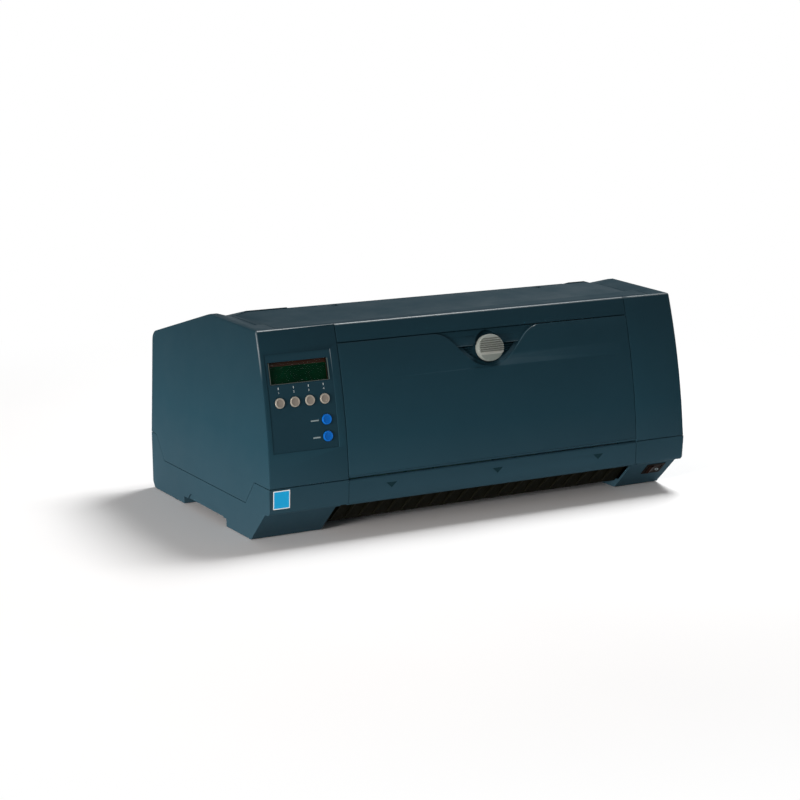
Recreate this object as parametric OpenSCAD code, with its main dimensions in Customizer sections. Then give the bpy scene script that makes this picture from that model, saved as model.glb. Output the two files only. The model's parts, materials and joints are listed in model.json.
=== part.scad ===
/* [Casing] */
// Width across the casing seam
body_w = 600; // [580:5:660]
// Depth from the front seam to the rear wall
body_d = 320; // [315:5:350]
// Height of the flat top
body_h = 252; // [250:1:270]
// Wall of the plastic casings and covers
wall = 3; // [2.5:0.25:3.5]
// Gap at the seams between casing pieces
seam_gap = 0.8; // [0.6:0.1:1]
// Height of the front seam between the two casings
seam_z = 73; // [71:0.5:75]
// Height of the seam along the sides
side_seam_z = 43; // [40:0.5:46]
// Lean of the side walls above the seam, in degrees
side_draft = 0.75; // [0:0.05:1]
// Lean of the side walls below the seam, in degrees
foot_draft = 1.7; // [0:0.1:2]
// Radius along the upper side edges
edge_r = 2.5; // [1:0.5:3]

/* [Front face] */
// Radius of the bowed front
front_r = 760; // [740:10:900]
// Distance of the top front edge behind the seam
front_rake = 41; // [38:1:44]
// Width of the casing to the left of the door
left_pod_w = 106; // [102:1:110]
// Width of the casing to the right of the door
right_pod_w = 75; // [72:1:80]
// Height of the crossbar above the door
door_drop = 21.5; // [20:0.5:24]
// Height of the lower edge of the front
chin_z = 40; // [38:0.5:42]

/* [Top] */
// Distance of the roof crest behind the middle
crest_y = 0; // [-2:1:4]
// Width of the top strip in front of the top cover
top_strip = 6.5; // [6:0.5:8]
// Width of the roof beside the top cover
cover_margin = 31; // [30:1:34]
// Depth of the finger valleys beside the top cover
valley_depth = 4.5; // [3:0.5:4.5]
// Distance of the inner valley edge from the side
valley_near = 51.5; // [50:0.5:54]
// Distance of the outer valley edge from the side
valley_far = 12; // [11:1:16]
// Length of the finger valleys
valley_len = 83; // [70:1:90]
// Width of the flat valley floor
valley_floor = 8; // [6:1:10]
// Drop from the crest to the rear corner
rear_drop = 49.8; // [40:1:55]
// Radius of the rear upper corner
rear_r = 14; // [8:1:18]
// Width of the paper exit slot behind the crest
exit_slot = 16; // [14:1:20]

/* [Feet] */
// Height of the floor of the lower casing
floor_z = 10; // [9:0.5:12]
// Clearance of the plastic feet above the table
foot_gap = 0.8; // [0.6:0.1:1.5]
// Width of the left front foot
left_foot_w = 94; // [88:1:98]
// Width of the right front foot
right_foot_w = 68; // [66:1:72]
// Length of the front feet on the table
front_foot_l = 64; // [60:1:70]
// Length of the rear feet on the table
rear_foot_l = 86; // [80:1:92]
// Distance of the front foot's toe behind the front
toe_back = 49.4; // [46:0.5:52]
// Height of the arch between the feet
arch_z = 18; // [16:0.5:20]
// Radius of the rubber feet
rubber_r = 9; // [7:0.5:11]
// Thickness of the rubber feet
rubber_t = 3; // [2.5:0.25:4]

/* [Door and flap] */
// Radius of the rolled lower edge of the door
door_bead_r = 3.5; // [3.25:0.25:4]
// Radius of the rolled upper edge of the paper flap
flap_bead_r = 3; // [2.75:0.25:3.25]
// Radius of the hinge pins
hinge_pin_r = 1.5; // [1.25:0.05:1.6]
// Length of hinge pin inside each bead
hinge_pin_grip = 12; // [8:1:16]
// Radial clearance of the hinge pins
hinge_fit = 0.06; // [0.03:0.01:0.09]
// Radius at the bottom of the scoop in the door
scoop_r = 48; // [44:1:52]
// Distance of the bottom of the scoop below the top
scoop_drop = 65; // [62:0.5:67]
// Depth of the scoop at the knob
scoop_depth = 5; // [4.5:0.5:8]
// Radius of the latch knob
knob_r = 18; // [16:0.5:19]
// Distance of the latch knob's centre below the top
knob_drop = 44; // [42:0.5:46]
// Height of the knob over the door
knob_proud = 5; // [4:0.5:8]
// Travel of the latch
latch_travel = 4; // [3:0.25:5]

/* [Control panel] */
// Distance of the control panel from the side
panel_margin = 8.5; // [8:0.5:9]
// Width of the control panel
panel_w = 86.5; // [86:0.5:88]
// Distance of the control panel below the top
panel_drop = 27; // [26:0.5:29]
// Height of the control panel
panel_h = 112; // [110:0.5:114]
// Thickness of the control panel
panel_t = 2; // [1.5:0.25:2.5]
// Depth of the panel face below the casing
panel_sink = 0.5; // [0.3:0.1:0.8]
// Width of the display window
lcd_w = 78; // [72:1:78]
// Height of the display window
lcd_h = 26; // [22:1:28]
// Distance of the display's centre below the panel's upper edge
lcd_drop = 21.5; // [20.5:0.5:23]
// Radius of the grey keys
key_r = 6; // [5.5:0.1:7]
// Spacing of the grey keys
key_pitch = 19.75; // [19:0.25:20]
// Distance of the row of grey keys below the panel's upper edge
key_row_drop = 55; // [53:0.5:57]
// Distance of the first grey key from the panel's left edge
key_in = 13.4; // [12.8:0.1:14.4]
// Radius of the blue keys
blue_key_r = 6.1; // [5.5:0.1:7.5]
// Distance of the upper blue key below the panel's upper edge
blue_key_drop = 78.7; // [78:0.1:80]
// Height between the two blue keys
blue_key_step = 19.4; // [18:0.2:21]
// Height of the keys over the panel
key_proud = 1.3; // [1.2:0.1:1.8]
// Travel of a key
key_travel = 1; // [0.6:0.1:1]
// Clearance round a key
key_gap = 0.5; // [0.3:0.05:0.5]

/* [Switch and label] */
// Width of the power switch
switch_w = 28; // [26:0.5:30]
// Height of the power switch along the foot's slope
switch_h = 21; // [19:0.5:22]
// Distance of the power switch from the side
switch_in = 28; // [26:0.5:32]
// Angle through which the rocker tips
rocker_tip = 16; // [12:1:18]
// Side of the square label
label_side = 22; // [18:0.5:22]
// Thickness of the label
label_t = 0.3; // [0.2:0.05:0.4]

/* [Mechanism] */
// Radius of the platen's rubber
platen_r = 18; // [16:0.5:20]
// Gap between the platen and each side plate
platen_gap = 9; // [6:1:14]
// Radius of the platen shaft
platen_shaft_r = 5; // [4:0.5:6]
// Distance of the platen behind the middle
platen_y = 20; // [16:1:24]
// Distance of the platen's axis below the top
platen_drop = 102; // [98:1:104]
// Distance of the steel side plates outside the door opening
plate_over = 1.5; // [1:0.5:2.5]
// Thickness of the steel side plates
plate_t = 2; // [1.5:0.25:2.5]
// Wall of the bushes round the platen shaft
bush_wall = 3; // [2:0.5:4]
// Radial clearance of the turning shafts
shaft_fit = 0.06; // [0.03:0.01:0.09]
// Radius of the carriage rods
rod_r = 6; // [5:0.5:7]
// Height between the two carriage rods
rod_step = 44; // [40:1:48]
// Distance of the carriage rods in front of the platen's axis
rod_back = 62; // [58:1:66]
// Width of the carriage
carriage_w = 50; // [44:1:54]
// Distance of the carriage's middle from a side plate at the end of its travel
carriage_stop = 41; // [40:1:60]
// Gap between the print head and the platen
head_gap = 1.2; // [0.8:0.1:2]
// Radius of the toothed belt's pulleys
pulley_r = 9; // [8:0.5:10]
// Thickness of the toothed belt
belt_t = 1.6; // [1.2:0.1:2]
// Width of the toothed belt
belt_w = 6; // [5:0.5:8]
// Radius of the carriage motor
motor_r = 20; // [16:1:21]
// Teeth of the platen gear
platen_teeth = 40; // [36:2:44]
// Teeth of the feed motor's pinion
pinion_teeth = 16; // [14:1:18]
// Teeth of the tractor gear
tractor_teeth = 36; // [32:2:38]
// Size of a tooth: pitch diameter for each tooth
gear_module = 1; // [1:0.05:1.1]
// Width of the gears
gear_w = 6; // [5:0.5:7]
// Distance of the tractor shaft behind the front
tractor_back = 66; // [64:1:70]
// Height of the tractor shaft
tractor_z = 92; // [90:1:94]
// Radius of the tractor shaft
tractor_shaft_r = 4; // [3.5:0.25:5]
// Radius of the sprocket wheels
sprocket_r = 13; // [12:0.5:14]
// Pins on each sprocket wheel
sprocket_pins = 8; // [6:1:8]
// Width of each tractor
tractor_w = 24; // [20:1:28]
// Distance of each tractor from its side plate
tractor_in = 46; // [39:1:60]
// Travel of each tractor along its shaft
tractor_travel = 22; // [10:1:22]
// Height of the tractor guide rod below the shaft
tractor_rod_down = 24; // [22:1:26]
// Radius of the tractor guide rod
tractor_rod_r = 3; // [2.5:0.25:4]
// Thickness of a tractor's flap
flap_t = 2.5; // [2:0.25:3]
// Gap between the ribbon cartridge and each side plate
cartridge_gap = 3; // [2:0.5:6]
// Depth of the ribbon cartridge
cartridge_d = 40; // [34:1:42]
// Height of the ribbon cartridge
cartridge_h = 18; // [14:1:20]
// Width of the ribbon
ribbon_w = 13; // [12:0.5:15]
// Radius of the ribbon knob
ribbon_knob_r = 10; // [8:0.5:12]
// Swing of the head gap lever
lever_swing = 24; // [16:1:28]

/* [Rear] */
// Width of the connector plate
io_w = 180; // [170:2:190]
// Height of the connector plate
io_h = 44; // [40:1:48]
// Distance of the connector plate's middle from the left side
io_in = 180; // [174:1:190]
// Width of the mains inlet's socket
inlet_w = 24; // [23.5:0.1:24.5]
// Height of the mains inlet's socket
inlet_h = 16.4; // [16:0.1:17]
// Depth of the mains inlet's socket
inlet_d = 15; // [14:0.5:17]
// Distance of the mains inlet from the right side
inlet_in = 50; // [45:1:55]

/* [Hidden] */
$fn = 48;
casing_fn = 720;
casing_color = [0.16, 0.24, 0.29];
dark_color = [0.09, 0.09, 0.09];
steel_color = [0.72, 0.73, 0.75];
far = 1000;
eps = 0.01;

front_y = -body_d / 2;
rear_y = body_d / 2;
door_left = left_pod_w - body_w / 2;
door_right = body_w / 2 - right_pod_w;
door_top_z = body_h - door_drop;
cover_half = body_w / 2 - cover_margin;
valley_in = body_w / 2 - valley_near;
valley_out = body_w / 2 - valley_far;
scoop_z = body_h - scoop_drop;
knob_z = body_h - knob_drop;
panel_left = panel_margin - body_w / 2;
panel_right = panel_left + panel_w;
panel_top = body_h - panel_drop;
panel_bottom = panel_top - panel_h;
lcd_z = panel_top - lcd_drop;
key_row_z = panel_top - key_row_drop;
key_first_x = panel_left + key_in;
blue_key_z = panel_top - blue_key_drop;
switch_x = body_w / 2 - switch_in;
plate_half = (door_right - door_left) / 2 + plate_over;
platen_len = 2 * (plate_half - platen_gap);
platen_z = body_h - platen_drop;
carriage_travel = plate_half - carriage_stop;
tractor_off = plate_half - tractor_in;
cartridge_len = 2 * (plate_half - cartridge_gap);
io_x = io_in - body_w / 2;
inlet_x = body_w / 2 - inlet_in;
door_x = (door_left + door_right) / 2;
half_seam = seam_gap / 2;
half_top = body_w / 2 - (body_h - seam_z) * tan(side_draft);
half_foot = body_w / 2 - seam_z * tan(foot_draft);

// centre of the bowed front, from its seam, its rake and its radius
bow_chord = [front_rake, body_h - seam_z];
bow_lean = atan(bow_chord[0] / bow_chord[1]) - asin(norm(bow_chord) / 2 / front_r);
bow_y = front_y + front_r * cos(bow_lean);
bow_z = seam_z - front_r * sin(bow_lean);
cover_front_y = front_y + front_rake + top_strip;
cover_back_y = crest_y - 3;
slope = atan(rear_drop / (rear_y - crest_y));
slot_back_y = cover_back_y + exit_slot;

function bow_face(z, inset = 0) = bow_y - sqrt(pow(front_r - inset, 2) - pow(z - bow_z, 2));
function bow_tilt(z) = asin((z - bow_z) / front_r);
function slope_z(y) = body_h - (y - crest_y) * tan(slope);
// arc that rounds the corner b between a and c
function corner(a, b, c, r, steps = 6) =
  let (u = (a - b) / norm(a - b), v = (c - b) / norm(c - b), half = acos(u * v) / 2,
    mid = b + (u + v) / norm(u + v) * r / sin(half), p = b + u * r / tan(half) - mid,
    q = b + v * r / tan(half) - mid, start = atan2(p[1], p[0]),
    turn = atan2(p[0] * q[1] - p[1] * q[0], p * q))
  [for (i = [0 : steps]) mid + r * [cos(start + turn * i / steps), sin(start + turn * i / steps)]];
// outline whose points are [x, y, radius]
function rounded(points) = [for (i = [0 : len(points) - 1])
  let (n = len(points), b = points[i], a = points[(i + n - 1) % n], c = points[(i + 1) % n])
  each (b[2] > 0 ? corner([a[0], a[1]], [b[0], b[1]], [c[0], c[1]], b[2]) : [[b[0], b[1]]])];

// a side view outline, drawn as (Y, Z), carried along X
module along_x(x0, x1) translate([x0, 0, 0]) rotate([90, 0, 90]) linear_extrude(x1 - x0) children();
// a front view outline, drawn as (X, Z), carried along Y
module along_y(y0, y1) translate([0, y1, 0]) rotate([90, 0, 0]) linear_extrude(y1 - y0) children();
module rod_x(r, x0, x1, y, z) translate([x0, y, z]) rotate([0, 90, 0]) cylinder(r = r, h = x1 - x0);
module rod_y(r, x, y0, y1, z) translate([x, y0, z]) rotate([-90, 0, 0]) cylinder(r = r, h = y1 - y0);
module block(x0, x1, y0, y1, z0, z1) translate([x0, y0, z0]) cube([x1 - x0, y1 - y0, z1 - z0]);
// places children on the bowed front, with -Y pointing out of it
module on_bow(x, z, inset = 0) translate([x, bow_face(z, inset), z]) rotate([-bow_tilt(z), 0, 0])
  children();
module bow_solid(inset) translate([-far / 2, bow_y, bow_z]) rotate([0, 90, 0])
  cylinder(r = front_r - inset, h = far, $fn = casing_fn);
// layer of the bowed front between two depths
module bow_layer(outer, inner) difference() {
  bow_solid(outer);
  bow_solid(inner);
}

// cross shape of the casing seen from the front, with its leaning sides
module cross_shape(inset) along_y(-far, far) polygon(rounded([
  [-half_foot + inset, 0, 0], [half_foot - inset, 0, 0], [body_w / 2 - inset, seam_z, 0],
  [half_top - inset, body_h - inset, max(edge_r - inset, 0)],
  [-half_top + inset, body_h - inset, max(edge_r - inset, 0)],
  [-body_w / 2 + inset, seam_z, 0]]));
// everything over the seam between the casings, with the seam raised by lift
module over_seam(lift) along_x(-far / 2, far / 2) polygon(rounded([
  [-far, seam_z + lift, 0], [front_y + 38, seam_z + lift, 2],
  [front_y + 61.7, side_seam_z + lift, 2], [rear_y - 35.3, side_seam_z + lift, 6],
  [rear_y - 14, seam_z + lift, 8], [far, seam_z + lift, 0], [far, far, 0], [-far, far, 0]]));
module upper_block(inset) intersection() {
  along_x(-far / 2, far / 2) polygon(rounded([[-far, body_h - inset, 0],
    [crest_y, body_h - inset, 6], [rear_y - inset, slope_z(rear_y) - inset / cos(slope),
    max(rear_r - inset, 1)], [rear_y - inset, 0, 0], [-far, 0, 0]]));
  bow_solid(inset);
  cross_shape(inset);
}
// finger valleys beside the top cover; sunk by drop and widened by grow
valley_ramp = (valley_out - valley_in - valley_floor) / 2;
valley_tail_slope = slope * 3 / 4;
module valley_section(drop, grow) polygon([
  [valley_in - grow, body_h + 1], [valley_in - grow, body_h - drop],
  [valley_in + valley_ramp - grow / 2, body_h - valley_depth - drop],
  [valley_out - valley_ramp + grow / 2, body_h - valley_depth - drop],
  [valley_out + grow, body_h - drop], [valley_out + grow, body_h + 1]]);
module valleys(drop = 0, grow = 0) for (side = [0, 1]) mirror([side, 0, 0]) {
  along_y(cover_back_y - valley_len - grow, crest_y + 1) valley_section(drop, grow);
  // runs out down the rear slope
  translate([0, crest_y, body_h]) rotate([-valley_tail_slope, 0, 0])
    translate([0, -crest_y, -body_h]) along_y(crest_y, rear_y) valley_section(drop, grow);
}

pod_left_x = door_left - half_seam;
pod_right_x = door_right + half_seam;
liner_back_y = front_y + 42;
panel_ledge = 3;
cover_bead_r = 5.5;
deck_z = body_h - 2 * cover_bead_r - 0.5;
cover_axis_y = cover_back_y - cover_bead_r;
cover_axis_z = body_h - cover_bead_r;
rear_bead_r = wall + 0.5;
rear_cover_end_y = rear_y - 20;
rear_open_z = slope_z(rear_cover_end_y) - 2 * wall;
hole_in_x = cover_half + half_seam;
hole_front_y = cover_front_y - half_seam;
hole_back_y = cover_back_y + half_seam;
casing_floor = floor_z + wall;
boss_r = 5;
boss_x = body_w / 2 - 16;
boss_rows = [front_y + 68, rear_y - 30];
screw_r = 1.7;
screw_head_r = 3.6;
screw_head_z = 5;
screw_bite = 14;
vent_count = 12;
vent_pitch = 8;
vent_w = 3;
module at_bosses() for (x = [-boss_x, boss_x], y = boss_rows) translate([x, y, 0]) children();

// walls that close each pod towards the door and under the top cover
module pod_liners() for (pod = [[-hole_in_x - wall, pod_left_x, pod_left_x - wall,
  -hole_in_x - wall], [pod_right_x, hole_in_x + wall, pod_right_x, hole_in_x]]) {
  block(pod[2], pod[2] + wall, front_y, liner_back_y, seam_z, deck_z);
  block(pod[0], pod[1], front_y, hole_back_y + wall, deck_z - wall, deck_z);
  block(pod[3], pod[3] + wall, hole_front_y, hole_back_y, deck_z - wall, body_h);
  block(pod[0], pod[1], hole_front_y - wall, hole_front_y, deck_z - wall, body_h);
  block(pod[0], pod[1], hole_back_y, hole_back_y + wall, deck_z - wall, body_h);
}
module upper_casing() color(casing_color) difference() {
  union() {
    intersection() {
      union() {
        difference() {
          upper_block(0);
          upper_block(wall);
        }
        intersection() {
          upper_block(wall / 2);
          union() {
            pod_liners();
            valleys(wall, wall);
            // cheeks that hold the pins of the rear cover
            for (x = [door_left - wall, door_right]) block(x, x + wall, rear_axis_y - 8,
              rear_axis_y + 8, rear_axis_z - 8, far);
          }
        }
        // ledge behind the control panel
        intersection() {
          block(panel_left - panel_ledge, panel_right + panel_ledge, front_y, 0,
            panel_bottom - panel_ledge, panel_top + panel_ledge);
          bow_layer(wall / 2, panel_sink + panel_t + 2);
          cross_shape(wall / 2);
        }
      }
      over_seam(half_seam);
    }
    intersection() {
      at_bosses() translate([0, 0, casing_floor]) cylinder(r = boss_r, h = body_h);
      upper_block(wall / 2);
    }
  }
  valleys();
  at_bosses() cylinder(r = screw_r, h = casing_floor + screw_bite);
  // top opening, with the pods' decks left in it
  block(-hole_in_x, hole_in_x, hole_front_y, hole_back_y, deck_z, far);
  block(pod_left_x, pod_right_x, hole_front_y, hole_back_y, seam_z, far);
  // paper exit slot, rear opening and door opening
  block(door_left, door_right, cover_back_y, rear_cover_end_y + half_seam, rear_open_z, far);
  block(pod_left_x, pod_right_x, -far, cover_front_y, 0, far);
  // seat and hole of the control panel
  intersection() {
    block(panel_left, panel_right, -far, 0, panel_bottom, panel_top);
    bow_layer(-far / 4, panel_sink + panel_t);
  }
  block(panel_left + panel_ledge, panel_right - panel_ledge, front_y, liner_back_y,
    panel_bottom + panel_ledge, panel_top - panel_ledge);
  for (i = [0 : vent_count - 1], x = [-1, 1])
    block(x * (half_top - 50) - 22, x * (half_top - 50) + 22, rear_y - 130 + i * vent_pitch,
      rear_y - 130 + i * vent_pitch + vent_w, rear_open_z - wall, far);
  block(io_x - io_w / 2, io_x + io_w / 2, rear_y - 2 * wall, far, io_z, io_z + io_h);
  pin_holes(door_axis_y, door_axis_z);
  pin_holes(rear_axis_y, rear_axis_z);
}
// holes for a hinge pin on both sides of the door opening
module pin_holes(y, z) for (x = [door_left, door_right])
  rod_x(hinge_pin_r, x - 2 * wall, x + 2 * wall, y, z);
io_z = seam_z + 14;

left_foot_x = -body_w / 2 + left_foot_w + 2;
right_foot_x = body_w / 2 - right_foot_w - 2;
toe_y = front_y + toe_back;
chin_y = front_y + 12;
toe_slope = atan((chin_z - foot_gap) / (toe_y - chin_y));
front_heel_y = toe_y + front_foot_l;
rear_toe_y = rear_y - 5 - rear_foot_l;
rear_foot_w = 70;
rubber_x = body_w / 2 - 30;
rubber_rows = [toe_y + rubber_r + 8, rear_y - 24];
board_z = casing_floor + 8;
label_x = -body_w / 2 + 16.2;
label_z = seam_z - 13.5;

module base_block(inset) intersection() {
  along_x(-far / 2, far / 2) polygon(rounded([[front_y + inset, far, 0],
    [front_y + inset, chin_z + 1.5 + inset, 6], [chin_y + inset / 2, chin_z + inset, 1],
    [toe_y + inset / 2, foot_gap + inset, 2], [rear_y - 5, foot_gap + inset, 3],
    [rear_y - inset, foot_gap + 8, 3], [rear_y - inset, far, 0]]));
  cross_shape(inset);
}
module below_seam() difference() {
  block(-far / 2, far / 2, -far / 2, far / 2, -far / 2, far / 2);
  over_seam(-half_seam);
}
// side view of the arch between the feet, for the skirt and for the floor
module arch(top) along_x(-far / 2, far / 2) polygon(rounded([[front_heel_y, -1, 0],
  [front_heel_y + top * 0.7, top, 6], [rear_toe_y - top, top, 10], [rear_toe_y, -1, 0]]));
module base_casing() color(casing_color) difference() {
  union() {
    difference() {
      intersection() {
        base_block(0);
        below_seam();
      }
      intersection() {
        base_block(wall);
        block(-far, far, -far, far, casing_floor, far);
      }
      // hollow feet
      for (foot = [[-body_w / 2, left_foot_x - wall, -far, front_heel_y - wall],
        [right_foot_x + wall, body_w / 2, -far, front_heel_y - wall],
        [-body_w / 2, -body_w / 2 + rear_foot_w - wall, rear_toe_y + wall, far],
        [body_w / 2 - rear_foot_w + wall, body_w / 2, rear_toe_y + wall, far]])
        intersection() {
          base_block(wall);
          block(foot[0], foot[1], foot[2], foot[3], 0, far);
        }
    }
    // walls that close the front pods of the lower casing
    intersection() {
      for (x = [pod_left_x - wall, pod_right_x])
        block(x, x + wall, front_y, liner_back_y, floor_z, seam_z - half_seam);
      base_block(wall / 2);
    }
    intersection() {
      at_bosses() cylinder(r = boss_r, h = casing_floor);
      base_block(0);
    }
    // pillars over the rubber feet
    for (x = [-rubber_x, rubber_x], y = rubber_rows) translate([x, y, foot_gap])
      cylinder(r = rubber_r + wall, h = floor_z - foot_gap);
  }
  // opening for the door and the paper flap, and the slope below it
  block(pod_left_x, pod_right_x, -far, liner_back_y + 6, casing_floor, far);
  block(left_foot_x, right_foot_x, -far, guide_foot_y + wall, -far, chin_z + wall);
  block(left_foot_x, right_foot_x, -far, front_heel_y, -far, floor_z);
  block(-body_w / 2 + rear_foot_w, body_w / 2 - rear_foot_w, front_heel_y - 1, far, -far, floor_z);
  block(-far, far, front_heel_y, rear_toe_y, -far, floor_z);
  intersection() {
    arch(arch_z);
    union() for (x = [-1, 1]) translate([x * body_w / 2, 0, 0])
      cube([2 * wall + 1.5, far, far], center = true);
  }
  for (x = [-rubber_x, rubber_x], y = rubber_rows) translate([x, y, 0])
    cylinder(r = rubber_r, h = rubber_t);
  at_bosses() {
    cylinder(r = screw_r + 0.3, h = far);
    cylinder(r = screw_head_r + 0.4, h = screw_head_z);
  }
  // seat of the label, opening of the switch and of the mains inlet
  block(label_x - label_side / 2 - 0.2, label_x + label_side / 2 + 0.2, front_y - 1,
    front_y + label_t, label_z - label_side / 2 - 0.2, label_z + label_side / 2 + 0.2);
  on_toe(switch_x) cube([switch_w - 3, 40, switch_h - 3], center = true);
  pin_holes(flap_axis_y, flap_axis_z);
  block(inlet_x - inlet_body_w / 2, inlet_x + inlet_body_w / 2, rear_y - 20, far,
    inlet_z - inlet_body_h / 2, inlet_z + inlet_body_h / 2);
}
// places children on the slope of the front feet, with -Y pointing out of it
toe_mid = (chin_y + toe_y) / 2 - 6.5;
module on_toe(x) translate([x, toe_mid, foot_gap + (toe_y - toe_mid) * tan(toe_slope)])
  rotate([90 - toe_slope, 0, 0]) children();

crossbar_back_y = cover_front_y + 10;
catch_w = 28;
catch_depth = 10;
catch_drop = 4.5;
door_axis_z = seam_z + half_seam + door_bead_r;
door_axis_y = bow_face(door_axis_z) + door_bead_r + 0.05;
// path of the door's upper edge as it opens
door_swing_r = norm([bow_face(door_top_z - half_seam) - door_axis_y,
  door_top_z - half_seam - door_axis_z]);
module door_swing(grow) translate([-far / 2, door_axis_y, door_axis_z]) rotate([0, 90, 0])
  cylinder(r = door_swing_r + grow, h = far, $fn = casing_fn);
module front_crossbar() color(casing_color) {
  difference() {
    intersection() {
      bow_solid(0);
      union() {
        block(door_left + half_seam, door_right - half_seam, front_y, hole_front_y,
          door_top_z + half_seam, body_h);
        block(pod_left_x, pod_right_x, hole_front_y - wall, crossbar_back_y, deck_z, body_h);
      }
    }
    intersection() {
      bow_solid(wall);
      block(-far, far, -far, far, 0, body_h - 2 * wall);
      union() {
        block(-far, far, -far, hole_front_y - wall, 0, far);
        block(-far, far, -far, far, 0, body_h - 3 * wall + 2);
      }
    }
    block(-far, far, hole_front_y, far, body_h - wall - 0.3, far);
    door_swing(seam_gap);
  }
  // catch behind the crossbar for the latch tongue
  difference() {
    intersection() {
      block(door_x - catch_w / 2, door_x + catch_w / 2, front_y, crossbar_back_y,
        door_top_z - catch_drop, door_top_z + 8);
      bow_layer(wall / 2, catch_depth);
    }
    door_swing(seam_gap);
  }
}

hinge_off = plate_half - 61;
hinge_xs = [door_x - hinge_off, door_x + hinge_off];
lug_w = 8;
cover_pin_r = 2;
module top_cover() color(casing_color) difference() {
  union() {
    along_x(-cover_half + half_seam, cover_half - half_seam) polygon([
      [cover_front_y + half_seam, body_h - wall], [cover_front_y + half_seam, body_h],
      [cover_axis_y, body_h], [cover_axis_y, body_h - wall]]);
    rod_x(cover_bead_r, -cover_half + half_seam, cover_half - half_seam, cover_axis_y, cover_axis_z);
    // thick part under the finger valleys
    intersection() {
      valleys(wall, wall);
      block(-cover_half + half_seam, cover_half - half_seam, cover_front_y + half_seam,
        cover_axis_y, 0, body_h - eps);
    }
    // stiffening ribs under the cover
    for (x = [-cover_half + 6, door_x - hinge_off * 2 / 3, door_x + hinge_off * 2 / 3, cover_half - 8])
      block(x, x + 2, cover_front_y + 14, cover_axis_y, deck_z + 0.4, body_h - wall + eps);
  }
  valleys();
  for (x = hinge_xs) {
    block(x - lug_w / 2 - 0.4, x + lug_w / 2 + 0.4, cover_axis_y - cover_bead_r - 3, far, 0, far);
    rod_x(cover_pin_r + hinge_fit, x - lug_w / 2 - hinge_pin_grip, x + lug_w / 2 + hinge_pin_grip,
      cover_axis_y, cover_axis_z);
  }
}

// the rear cover lies in the slope, with its bead at the lower end
rear_axis_y = rear_cover_end_y - half_seam - rear_bead_r;
rear_axis_z = slope_z(rear_axis_y) - rear_bead_r / cos(slope);
module rear_cover() color(casing_color) difference() {
  union() {
    along_x(door_left + half_seam, door_right - half_seam) polygon([
      [slot_back_y, slope_z(slot_back_y)], [slot_back_y, slope_z(slot_back_y) - wall / cos(slope)],
      [rear_axis_y, slope_z(rear_axis_y) - wall / cos(slope)],
      [rear_axis_y + rear_bead_r * sin(slope), rear_axis_z + rear_bead_r * cos(slope)]]);
    rod_x(rear_bead_r, door_left + half_seam, door_right - half_seam, rear_axis_y, rear_axis_z);
    // rolled front edge that the paper slides over
    rod_x(wall, door_left + half_seam, door_right - half_seam, slot_back_y + 1,
      slope_z(slot_back_y) - wall);
  }
  for (x = [door_left, door_right]) rod_x(hinge_pin_r + hinge_fit, x - hinge_pin_grip,
    x + hinge_pin_grip, rear_axis_y, rear_axis_z);
  for (i = [0 : rear_slots - 1], x = [-1, 1])
    translate([door_x + x * rear_slot_off - rear_slot_w / 2, slot_back_y + 30 + i * vent_pitch, 0])
      cube([rear_slot_w, vent_w, far]);
}
rear_slots = 9;
rear_slot_w = plate_half - 51;
rear_slot_off = plate_half - 115;

flap_axis_z = seam_z - half_seam - flap_bead_r;
flap_axis_y = front_y + flap_bead_r;
flange_depth = 9;
door_l = door_left + half_seam;
door_r = door_right - half_seam;
scoop_mouth = 63.5;
scoop_flare = 42;
pocket_top_z = 212;
pocket_depth = scoop_depth;
tier_depth = scoop_depth / 2;
// front view of the scoop, grown by grow all round
module scoop_shape(grow = 0) translate([door_x, 0]) polygon(rounded([
  [-scoop_mouth - 30, door_top_z, 0], [-scoop_mouth - grow * 1.4, door_top_z, scoop_flare],
  [0, scoop_z - scoop_r * (sqrt(2) - 1) - grow * sqrt(2), scoop_r + grow],
  [scoop_mouth + grow * 1.4, door_top_z, scoop_flare], [scoop_mouth + 30, door_top_z, 0],
  [scoop_mouth + 30, far, 0], [-scoop_mouth - 30, far, 0]]));
stem_w = 12;
stem_h = 8;
module front_door() color(casing_color) difference() {
  union() {
    intersection() {
      block(door_l, door_r, front_y, 0, door_axis_z, door_top_z - half_seam);
      door_swing(0);
      union() {
        bow_layer(0, wall);
        intersection() {
          bow_layer(wall / 2, flange_depth);
          union() for (x = [door_l, door_r - wall]) block(x, x + wall, front_y, 0, 0, far);
        }
        intersection() {
          bow_layer(wall / 2, scoop_depth + wall);
          along_y(front_y, 0) scoop_shape(wall);
        }
      }
    }
    rod_x(door_bead_r, door_l, door_r, door_axis_y, door_axis_z);
  }
  intersection() {
    bow_layer(-far / 4, tier_depth);
    along_y(front_y, 0) scoop_shape();
  }
  intersection() {
    bow_layer(-far / 4, pocket_depth);
    along_y(front_y, 0) intersection() {
      scoop_shape(-4);
      translate([-far, 0]) square([2 * far, pocket_top_z]);
    }
    block(-far, far, -far, far, 0, far);
  }
  intersection() {
    bow_layer(-far / 4, pocket_depth);
    on_bow(door_x, knob_z) rotate([90, 0, 0]) translate([0, 0, -40])
      linear_extrude(80) knob_pocket(knob_r + 0.6, latch_travel);
  }
  // slot for the latch stem
  on_bow(door_x, knob_z) translate([-stem_w / 2 - 0.4, -20, -stem_h / 2 - 0.4])
    cube([stem_w + 0.8, 60, stem_h + latch_travel + 0.8]);
  for (x = [door_l, door_r]) rod_x(hinge_pin_r + hinge_fit, x - hinge_pin_grip, x + hinge_pin_grip,
    door_axis_y, door_axis_z);
}
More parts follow.
